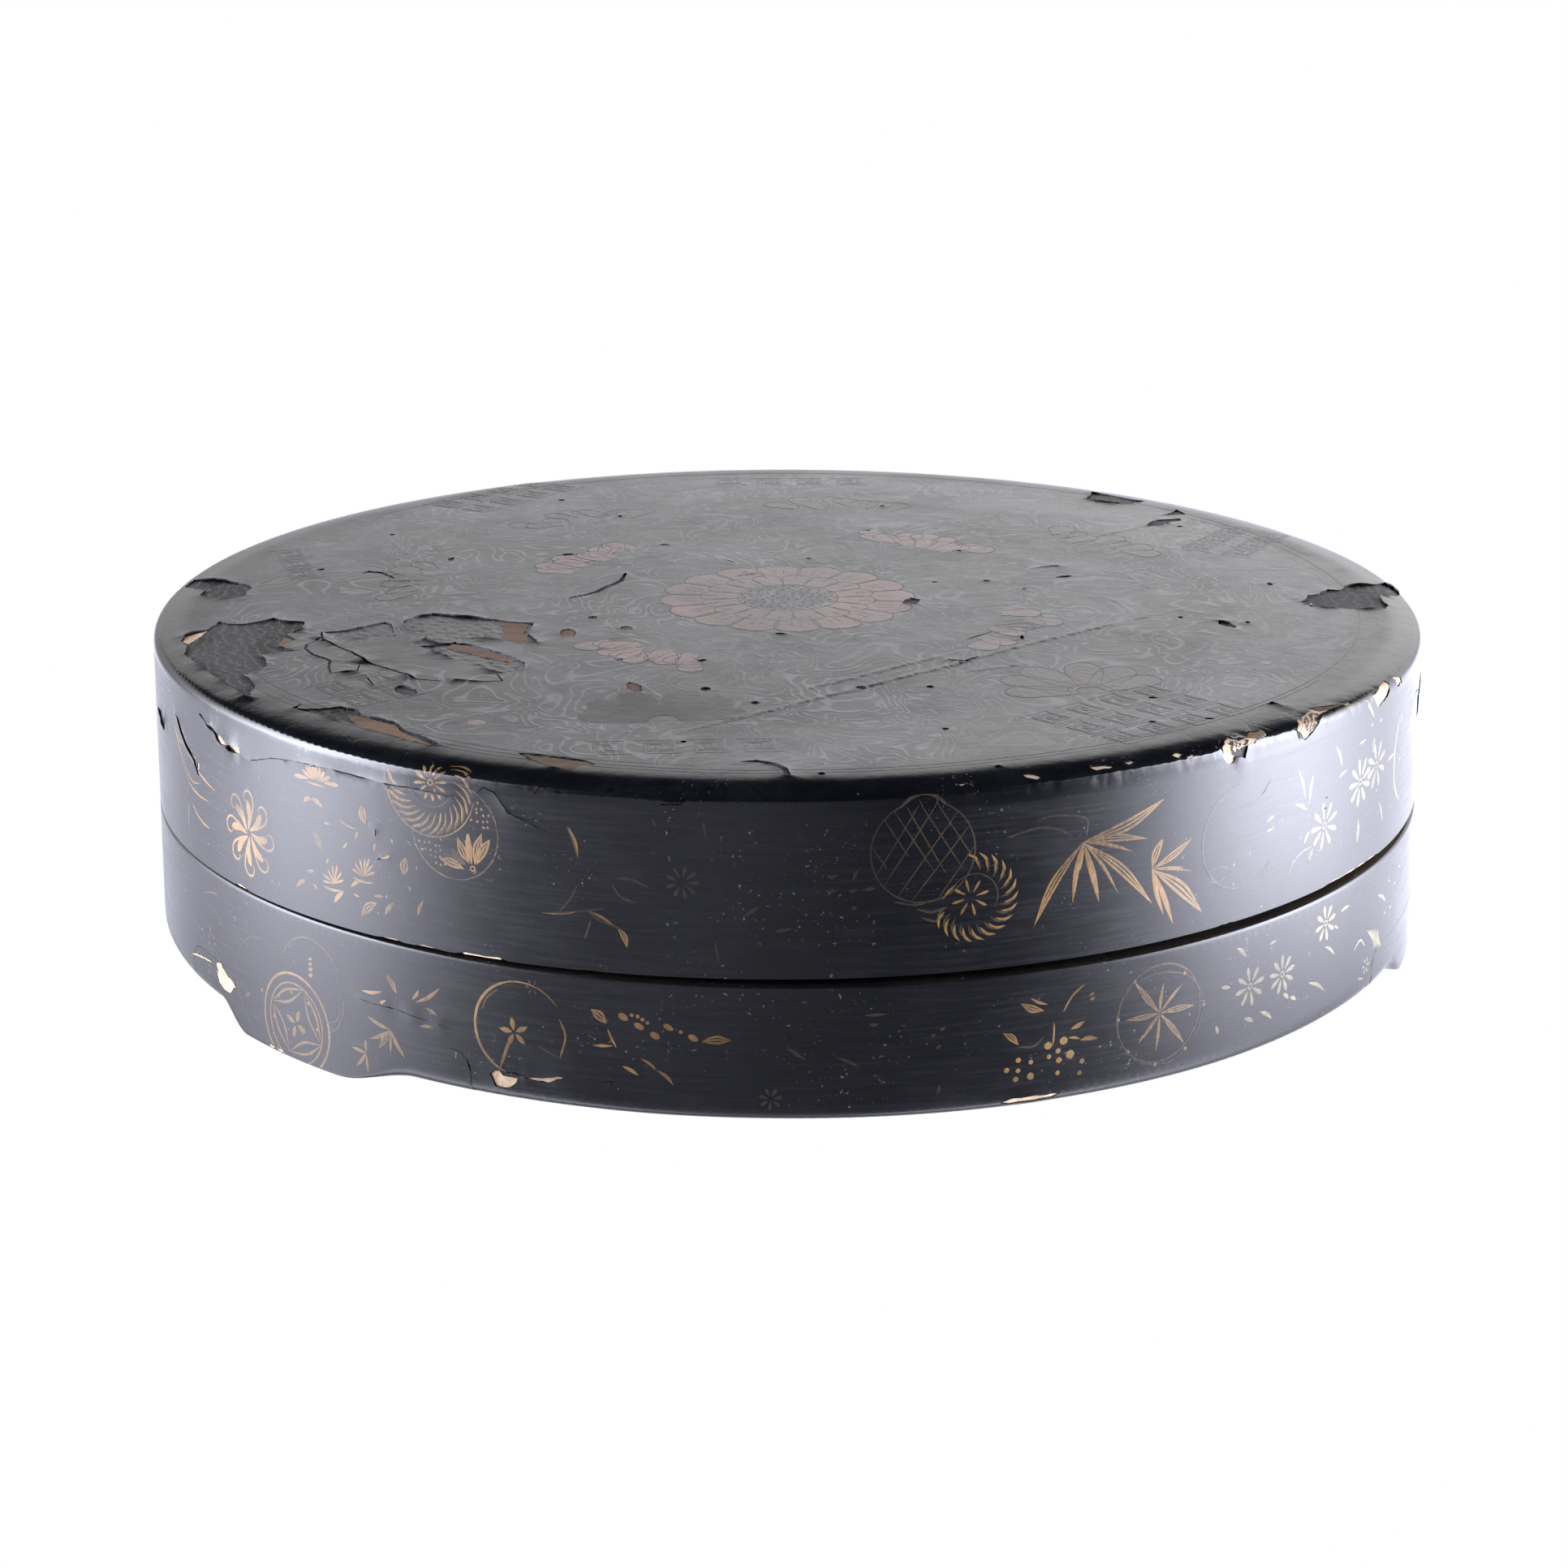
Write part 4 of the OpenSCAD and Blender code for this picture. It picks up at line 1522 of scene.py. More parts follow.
# Gap around a foot, radius of its lower edge where it stands, and columns and rows of its mesh.
FOOT_GAP = 0.12
FOOT_HEEL_R = 0.7
FOOT_COLUMNS = 97
FOOT_ROWS = 15


@dataclass
class Foot:
    """One bracket foot with two S curves.

    Attributes:
        name: Name of the CAD node that it replaces.
        direction: Direction of its middle in degrees.
        looks: Materials by name.
        made: The built object.
    """

    name: str
    direction: float
    looks: dict
    made: bpy.types.Object | None = None

    def low_edge(self, x: float) -> float:
        """Works out the height of the foot's lower edge.

        Args:
            x: Sideways place in millimetres.

        Returns:
            The height.
        """
        starts, ends = FOOT_CURVES
        down = np.clip((x - starts[0]) / (ends[0] - starts[0]), 0, 1)
        up = np.clip((x - starts[1]) / (ends[1] - starts[1]), 0, 1)
        return SIZES.wall_z * (1 + (math.cos(math.pi * down) - math.cos(math.pi * up)) / 2)

    def build(self) -> None:
        """Builds the closed foot."""
        k = SIZES
        half = k.foot_half - FOOT_GAP
        rows = FOOT_ROWS
        outer, inner = [], []
        for x in np.linspace(-half, half, FOOT_COLUMNS):
            low = self.low_edge(x)
            top = k.wall_z + k.foot_rise - FOOT_GAP
            over = abs(x) - (half - k.foot_corner_r)
            if over > 0:
                top -= k.foot_corner_r - math.sqrt(max(0.0, k.foot_corner_r**2 - over**2))
            heel = FOOT_HEEL_R + (k.heel_r - FOOT_HEEL_R) * (low / k.wall_z)
            turn = math.radians(self.direction) + math.asin(x / k.box_r)
            for j in range(rows):
                t = j / (rows - 1)
                z = low + (top - low) * t**1.6
                rise = min(z - low, heel)
                r = k.box_r - 0.02 - heel + math.sqrt(max(0.0, heel**2 - (heel - rise) ** 2))
                outer.append(spot(r, turn) + (z,))
                inner.append(spot(k.foot_in_r, turn) + (z,))
        verts = np.array(outer + inner) * MM
        count, faces = len(outer), []
        last = FOOT_COLUMNS - 1
        for i in range(last):
            for j in range(rows - 1):
                a, b = i * rows + j, (i + 1) * rows + j
                faces.append((a, b, b + 1, a + 1))
                faces.append((a + count, a + 1 + count, b + 1 + count, b + count))
            a, b = i * rows, (i + 1) * rows
            faces.append((a, a + count, b + count, b))
            a, b = a + rows - 1, b + rows - 1
            faces.append((a, b, b + count, a + count))
        for i, flip in ((0, False), (last, True)):
            for j in range(rows - 1):
                a = i * rows + j
                quad = (a, a + 1, a + 1 + count, a + count)
                faces.append(quad[::-1] if flip else quad)
        self.made = mesh_object(self.name + "_shape", verts, faces, self.looks["black_lacquer"])
        self.made.data.set_sharp_from_angle(angle=math.radians(40))

    def dress(self) -> None:
        """Puts the foot on the base in place of the even CAD one."""
        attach(self.made, "base")
        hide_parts(self.name)
        LOG.info("base: %s", self.made.name)


FEET = (("foot_front_left", 224.3), ("foot_right", 351.5), ("foot_back", 108.0))

FOOT_CHIPS = [
    on_base([(210.8, 11.3), (211.4, 12.2), (212.0, 12.5), (212.2, 11.2), (213, 9.9), (214.2, 9),
             (214.6, 8.1), (214.0, 6.9), (213.6, 5.2), (212.4, 5.1), (211.4, 6.4), (211.1, 8),
             (211.2, 9.8)]),
    on_base([(204.4, 7.4), (206, 8.8), (208, 9.9), (210.6, 10.9), (208, 10.3), (206, 9.3)]),
    on_base([(220, -4.0), (220.3, -3.6), (220.9, -4.0), (220.5, -4.4)]),
    on_base([(221.2, -4.0), (221.7, -3.6), (222.2, -4.0), (221.7, -4.4)]),
]
BASE_CREAM = [
    on_base([(245.1, 7.2), (245.5, 8.3), (246.0, 8.5), (246.3, 7.2), (247.7, 7.2), (247.5, 5.6), (247, 4.2),
             (246.4, 3.5), (245.6, 3.9), (245.4, 5.4)]),
    on_base([(248.2, 7.7), (249.5, 8.1), (250.6, 8.6), (251.2, 9.4), (251.8, 9.2), (251, 8.2), (250.3, 7.0),
             (249.8, 7.2), (249, 7.2)]),
    on_base([(287.5, 2.2), (288.6, 3.2), (290.4, 3.4), (291.6, 3.0), (292.9, 3.1), (292.2, 1.6), (290, 1.2),
             (288.2, 1.3)]),
]
BASE_LOSSES = [Loss(loop, 0.2, 0.12, [("cream_wood", shrunk(loop, 0.94))]) for loop in BASE_CREAM]
BASE_LOSSES += [
    crack(on_base([(246.6, 8.4), (247.4, 8.5), (248.3, 7.9)]), 0.6, 0.15),
    crack(on_base([(255, 9.2), (255.8, 9.7), (255.7, 7.5)]), 0.35, 0.2),
    crack(on_base([(232, 20.3), (236, 20.0), (240.5, 18.6)]), 0.2, 0.15),
]


@dataclass
class Base:
    """The base's coats, which stay with its body."""

    looks: dict
    made: dict = field(default_factory=dict)

    def build(self) -> None:
        """Builds the three coats with cut-outs for the feet."""
        rings = list(np.arange(20.0, 180, 20)) + [182] + list(np.arange(184, BASE_WALL_S0, 1.0))
        rings += list(np.arange(BASE_WALL_S0 + 2, BASE.s[-1] - 10.5, 2.6))
        rings += list(np.arange(BASE.s[-1] - 10.2, BASE.s[-1] - 8, 0.4)) + [BASE.s[-1] - 5]
        for coat in Coat:
            name = "base_" + coat.name.lower()
            losses = BASE_LOSSES if coat is Coat.LACQUER else []
            holes = [np.array(foot_loop(direction)) for _, direction in FEET]
            holes += [jag(x.loop, x.rough, 0.9, 70 + k) for k, x in enumerate(losses)]
            curls = [0.0] * len(FEET) + [x.lift for x in losses]
            swell = base_swell if coat is Coat.LACQUER else even
            skin = Skin(name + "_skin", BASE, coat, base_edge, holes, curls, [], rings, swell)
            self.made[name] = skin.build(self.looks[coat_look(name)])
        bared_wood("base", BASE, bare_rows(BASE_LOSSES, 0.12, 0.9, 300), self.looks, 0.3)
        rows = [("cream_wood", jag(loop, 0.12, 0.9, 340 + k)) for k, loop in enumerate(FOOT_CHIPS)]
        bared_wood("base", UPRIGHT, rows, self.looks, -0.08)

    def dress(self) -> None:
        """Puts the coats on the base in place of the even CAD ones."""
        for name, made in self.made.items():
            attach(made, "base")
            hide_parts(name)
            coat_look(name)
            LOG.info("base: %s with %d faces", made.name, len(made.data.polygons))


@dataclass
class Woodwork:
    """The CAD boards, hoops, pegs and linings, which get their finishes."""

    looks: dict

    def build(self) -> None:
        """Gives every CAD node that stays in view its material."""
        slots = {row["node"]: row["material_slot"] for row in frame["record"]["subparts"]}
        for name, node in frame["nodes"].items():
            slot = slots[name]
            if slot == "foot_lacquer":
                slot = "black_lacquer"
            if name.startswith("base_board_") and slot == "board_wood":
                slot = "floor_wood"
            if node.data.materials:
                node.data.materials[0] = self.looks[slot]
            else:
                node.data.materials.append(self.looks[slot])

    def dress(self) -> None:
        """Logs the dressed nodes."""
        LOG.info("woodwork: %d nodes", len(frame["nodes"]))


# Painted ornament


class Tip(Enum):
    """How the width of a stroke runs from its start to its end."""

    EVEN = "even"
    LINE = "line"
    LEAF = "leaf"
    DROP = "drop"
    ROUND = "round"

    def share(self, t: np.ndarray) -> np.ndarray:
        """Works out how wide a stroke is along its way.

        Args:
            t: Places from 0 to 1.

        Returns:
            Parts of the full width.
        """
        if self is Tip.EVEN:
            return np.ones(len(t))
        if self is Tip.LINE:
            return np.minimum(1, 0.25 + np.minimum(t, 1 - t) / 0.25)
        if self is Tip.LEAF:
            return np.maximum(0.06, np.sin(math.pi * t) ** 0.9)
        if self is Tip.DROP:
            return np.maximum(0.06, np.sqrt(np.minimum(1, t / 0.3 + 0.02)) * (1 - t) ** 0.55)
        return np.maximum(0.08, np.sqrt(np.maximum(0, 1 - (2 * t - 1) ** 2)))


def smooth(points: list, step: float) -> np.ndarray:
    """Draws a smooth curve through points.

    Args:
        points: The points.
        step: Spacing on the curve.

    Returns:
        Close points along the curve.
    """
    p = np.array(points, float)
    ends = np.vstack([2 * p[0] - p[1], p, 2 * p[-1] - p[-2]])
    found = []
    for k in range(len(p) - 1):
        a, b, c, d = ends[k : k + 4]
        count = max(3, int(np.linalg.norm(c - b) / step))
        t = (np.arange(count) / count)[:, None]
        square, cube = 2 * a - 5 * b + 4 * c - d, 3 * b - a - 3 * c + d
        found.append(0.5 * (2 * b + (c - a) * t + square * t**2 + cube * t**3))
    return np.vstack(found + [p[-1:]])


def sweep_tree() -> bpy.types.NodeTree:
    """Builds the geometry nodes that sweep a round section along edges, wide as their half attribute.

    Returns:
        The node tree.
    """
    tree = bpy.data.node_groups.new("brush_sweep", "GeometryNodeTree")
    for name, kind in (("Geometry", "Geometry"), ("Sides", "Int"), ("Paint", "Material")):
        tree.interface.new_socket(name, in_out="INPUT", socket_type="NodeSocket" + kind)
    tree.interface.new_socket("Geometry", in_out="OUTPUT", socket_type="NodeSocketGeometry")
    g = Graph(tree)
    start = g.add("NodeGroupInput").outputs
    curve = g.add("GeometryNodeMeshToCurve", {0: start["Geometry"]}).outputs[0]
    upright = g.add("GeometryNodeSetCurveNormal", {0: curve}, mode="Z_UP").outputs[0]
    half = g.add("GeometryNodeInputNamedAttribute", {"Name": "half"}, data_type="FLOAT").outputs[0]
    ring = g.add("GeometryNodeCurvePrimitiveCircle", {"Resolution": start["Sides"], "Radius": 1.0}).outputs[0]
    inputs = {"Curve": upright, "Profile Curve": ring, "Scale": half, "Fill Caps": True}
    swept = g.add("GeometryNodeCurveToMesh", inputs).outputs[0]
    real = g.add("GeometryNodeRealizeInstances", {0: swept}).outputs[0]
    painted = g.add("GeometryNodeSetMaterial", {"Geometry": real, "Material": start["Paint"]}).outputs[0]
    g.join(painted, g.add("NodeGroupOutput").inputs[0])
    return tree


@dataclass
class Surface:
    """The made surface that paint lies on.

    Attributes:
        tree: Search tree of its faces.
        rays: Takes flat points and returns starts outside the surface, in metres, and ways inwards.
        reach: Longest ray in millimetres.
    """

    tree: BVHTree
    rays: Callable
    reach: float

    def drop(self, flat: np.ndarray, rise: np.ndarray) -> tuple[np.ndarray, np.ndarray]:
        """Places flat points at a rise above the surface.

        Args:
            flat: The points.
            rise: Height of each in millimetres.

        Returns:
            Points in metres, and whether each one met the surface.
        """
        starts, ways = self.rays(flat)
        placed, met = np.empty((len(flat), 3)), np.zeros(len(flat), bool)
        for k, (start, way) in enumerate(zip(starts, ways)):
            hit = self.tree.ray_cast(Vector(start), Vector(way), self.reach * MM)[0]
            met[k] = hit is not None
            placed[k] = (np.array(hit) if met[k] else start + way * 4 * MM) - way * rise[k] * MM
        return placed, met


def surface_of(objects: list, rays: Callable, reach: float) -> Surface:
    """Joins objects to one surface.

    Args:
        objects: The objects.
        rays: The surface's rays.
        reach: Its longest ray.

    Returns:
        The surface.
    """
    verts, faces = [], []
    for made in objects:
        start = len(verts)
        verts += [v.co.copy() for v in made.data.vertices]
        faces += [[start + i for i in p.vertices] for p in made.data.polygons]
    return Surface(BVHTree.FromPolygons(verts, faces), rays, reach)


def rays_at(outline: Outline, s: np.ndarray, turn: np.ndarray) -> tuple[np.ndarray, np.ndarray]:
    """Aims rays at an outline from outside.

    Args:
        outline: The outline.
        s: Chart lengths.
        turn: Angles in radians.

    Returns:
        Starts in metres and ways inwards.
    """
    flat = spots(s, turn)
    start = outline.wrap(flat, np.full(len(s), RAY_GAP))
    foot = outline.wrap(flat, np.zeros(len(s)))
    return start, (foot - start) / (RAY_GAP * MM)


def top_rays(flat: np.ndarray) -> tuple[np.ndarray, np.ndarray]:
    """Returns the rays of points of the lid's plan."""
    return rays_at(LID, np.hypot(flat[:, 0], flat[:, 1]), np.arctan2(flat[:, 1], flat[:, 0]))


def lid_wall_rays(flat: np.ndarray) -> tuple[np.ndarray, np.ndarray]:
    """Returns the rays of points of the lid's unrolled wall."""
    return rays_at(LID, LID_WALL_S0 + LID_WALL_Z0 - flat[:, 1], flat[:, 0] / SIZES.box_r)


def base_wall_rays(flat: np.ndarray) -> tuple[np.ndarray, np.ndarray]:
    """Aims level rays at the base's unrolled wall.

    Args:
        flat: Points of the unrolled wall.

    Returns:
        Starts in metres and ways inwards.
    """
    turn = flat[:, 0] / SIZES.box_r
    way = -np.column_stack([np.cos(turn), np.sin(turn), np.zeros(len(turn))])
    start = -way * (SIZES.box_r + RAY_GAP) * MM
    start[:, 2] = flat[:, 1] * MM
    return start, way


@dataclass
class Brush:
    """Strokes of one paint on one surface.

    Attributes:
        name: Name of the painted object.
        surface: What it paints on.
        scale: Millimetres of one unit across and of one unit up in the coordinates given.
        raised: Height added to the second coordinate.
        step: Spacing of the points along a stroke.
        film: Half the greatest thickness of the paint.
        strokes: Flat paths with the half widths of their points.
    """

    name: str
    surface: Surface
    scale: tuple[float, float] = (1.0, 1.0)
    raised: float = 0.0
    step: float = 0.9
    film: float = 0.012
    strokes: list = field(default_factory=list)

    def flat(self, point: tuple) -> np.ndarray:
        """Returns a point in flat millimetres."""
        return np.array([point[0] * self.scale[0], point[1] * self.scale[1] + self.raised])

    def put(self, path: np.ndarray, wide: float, tip: Tip) -> None:
        """Keeps the runs of a stroke that meet the surface.

        Args:
            path: Close points along the stroke.
            wide: Its full width.
            tip: How the width runs.
        """
        steps = np.linalg.norm(np.diff(path, axis=0), axis=1)
        t = np.concatenate([[0], np.cumsum(steps)]) / max(steps.sum(), 1e-6)
        half = 0.5 * wide * tip.share(t)
        met = self.surface.drop(path, np.zeros(len(path)))[1]
        run = []
        for k in range(len(path) + 1):
            if k < len(path) and met[k]:
                run.append(k)
                continue
            if len(run) > 2:
                self.strokes.append((path[run], half[run]))
            run = []

    def line(self, points: list, wide: float = 0.5, tip: Tip = Tip.LINE) -> None:
        """Draws a smooth line through points."""
        self.put(smooth([self.flat(p) for p in points], self.step), wide, tip)

    def lines(self, paths: tuple, wide: float = 0.5) -> None:
        """Draws smooth lines of one width."""
        for path in paths:
            self.line(path, wide)

    def leaf(
        self, a: tuple, b: tuple, wide: float, bend: float = 0.0, slit: bool = False, tip: Tip = Tip.LEAF
    ) -> None:
        """Draws a leaf or petal.

        Args:
            a: Its start.
            b: Its end.
            wide: Its width.
            bend: How far its middle lies to the left of the straight line, in millimetres.
            slit: Whether it is two halves with a gap.
            tip: How its width runs.
        """
        a, b = self.flat(a), self.flat(b)
        shifts = ((bend, 0.86),)
        if slit:
            shifts = ((bend + wide * 0.42, 0.3), (bend, 0.24), (bend - wide * 0.42, 0.3))
        for shift, share in shifts:
            self.bow(a, b, shift, wide * share, tip)

    def bow(self, a: np.ndarray, b: np.ndarray, bend: float, wide: float, tip: Tip) -> None:
        """Draws a bent stroke between two flat points.

        Args:
            a: Its start.
            b: Its end.
            bend: How far its middle lies to the left.
            wide: Its width.
            tip: How the width runs.
        """
        side = np.array([a[1] - b[1], b[0] - a[0]]) / max(np.linalg.norm(b - a), 1e-6)
        self.put(smooth([a, (a + b) / 2 + side * bend, b], self.step * 0.8), wide, tip)

    def leaves(self, rows: tuple) -> None:
        """Draws leaves from rows of start, end and width, and where it differs from 0 the bend and slit."""
        for x0, y0, x1, y1, *form in rows:
            self.leaf((x0, y0), (x1, y1), *form)

    def spray(self, node: tuple, rows: tuple) -> None:
        """Draws pointed leaves from one node, from rows as for leaves without the start."""
        self.leaves(tuple(node + row for row in rows))

    def bud(self, foot: tuple, tips: tuple, wide: float) -> None:
        """Draws petals from their tips down to one foot."""
        for end in tips:
            self.leaf(end, foot, wide, tip=Tip.DROP)

    def dots(self, centres: tuple, r: float) -> None:
        """Draws round dots of one size."""
        for centre in centres:
            self.dot(centre, r)

    def dot(self, centre: tuple, r: float) -> None:
        """Draws a dot.

        Args:
            centre: Its middle.
            r: Its radius in millimetres.
        """
        c = self.flat(centre)
        reach = np.array([0.0, r])
        self.put(smooth([c - reach, c, c + reach], r * 0.5), 2 * r, Tip.ROUND)

    def ring(self, centre: tuple, r: float, wide: float = 0.5, a0: float = 0, a1: float = 360) -> None:
        """Draws a circle or an arc.

        Args:
            centre: Its middle.
            r: Its radius in millimetres.
            wide: Width of the line.
            a0: First angle in degrees.
            a1: Last angle.
        """
        c = self.flat(centre)
        count = max(8, int(abs(a1 - a0) / 360 * 2 * math.pi * r / self.step))
        turn = np.radians(np.linspace(a0, a1, count))
        tip = Tip.EVEN if abs(a1 - a0) >= 360 else Tip.LINE
        self.put(c + spots(r, turn), wide, tip)

    def rays(self, centre: tuple, r0: float, r1: float, angles: list, wide: float, twist: float = 0.0,
             bend: float = 0.0, tip: Tip = Tip.DROP) -> None:
        """Draws strokes around a centre.

        Args:
            centre: The centre.
            r0: Radius of each stroke's start.
            r1: Radius of its end.
            angles: Direction of each start in degrees.
            wide: Width of a stroke.
            twist: Angle from start to end in degrees.
            bend: Sideways bend in millimetres.
            tip: How the width runs.
        """
        c = self.flat(centre)
        for angle in angles:
            start = c + spot(r0, math.radians(angle))
            self.bow(start, c + spot(r1, math.radians(angle + twist)), bend, wide, tip)

    def paint(
        self, body: str, tree: bpy.types.NodeTree, material: bpy.types.Material, rise: float = 0.02
    ) -> None:
        """Sweeps the strokes and lays them on the surface.

        Args:
            body: The body that the paint rides on.
            tree: The sweep's nodes.
            material: The paint.
            rise: Height of the middle of the film above the surface in millimetres.
        """
        verts, edges, half = [], [], []
        for path, wide in self.strokes:
            start = len(verts)
            verts += [(x * MM, y * MM, 0.0) for x, y in path]
            edges += [(start + k, start + k + 1) for k in range(len(path) - 1)]
            half += [w * MM for w in wide]
        mesh = bpy.data.meshes.new(self.name + "_paths")
        mesh.from_pydata(verts, edges, [])
        mesh.attributes.new("half", "FLOAT", "POINT").data.foreach_set("value", half)
        paths = bpy.data.objects.new(self.name + "_paths", mesh)
        bpy.context.scene.collection.objects.link(paths)
        modifier = paths.modifiers.new("sweep", "NODES")
        modifier.node_group = tree
        keys = {item.name: item.identifier for item in tree.interface.items_tree if item.in_out == "INPUT"}
        modifier[keys["Sides"]] = 6
        modifier[keys["Paint"]] = material
        seen = paths.evaluated_get(bpy.context.evaluated_depsgraph_get())
        swept = bpy.data.meshes.new_from_object(seen)
        bpy.data.objects.remove(paths)
        swept.name = self.name
        place = np.empty(len(swept.vertices) * 3)
        swept.vertices.foreach_get("co", place)
        place = place.reshape(-1, 3) / MM
        film = np.clip(place[:, 2], -self.film, self.film) + rise
        placed = self.surface.drop(place[:, :2], film)[0]
        swept.vertices.foreach_set("co", placed.ravel())
        swept.polygons.foreach_set("use_smooth", [False] * len(swept.polygons))
        swept.update()
        made = bpy.data.objects.new(self.name, swept)
        bpy.context.scene.collection.objects.link(made)
        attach(made, body)
        LOG.info("%s: %d strokes, %d faces", self.name, len(self.strokes), len(swept.polygons))


# Millimetres of wall to a degree.
DEGREE = 3.316


def turns(first: float, last: float, count: int) -> list[float]:
    """Returns angles from first to last."""
    return [float(a) for a in np.linspace(first, last, count)]


def star(count: int, first: float = 0.0) -> list[float]:
    """Returns equal angles of a full turn."""
    return [first + 360 * k / count for k in range(count)]


def out_and_side(angle: float) -> tuple[np.ndarray, np.ndarray]:
    """Works out two directions at right angles.

    Args:
        angle: Angle of the first one in degrees.

    Returns:
        The direction and the one to its left.
    """
    a = math.radians(angle)
    out = np.array([math.cos(a), math.sin(a)])
    return out, np.array([-out[1], out[0]])


def swirl_flower(b: Brush, centre: tuple) -> None:
    """Draws the flower of eight comma strokes that curl at their heads.

    Args:
        b: The brush.
        centre: Its middle.
    """
    b.rays(centre, 9.6, 1.0, star(8, 92), 3.0, 14, 0.9)
    hook = ((2.0, 14), (6.4, 20), (10.4, 17), (12.4, 6), (12.0, -5), (10.3, -10), (9.1, -4))
    for angle in star(8, 92):
        path = []
        for r, turn in hook:
            a = math.radians(angle - turn)
            path.append((centre[0] + r * math.cos(a) / b.scale[0], centre[1] + r * math.sin(a)))
        b.line(path, 0.7)


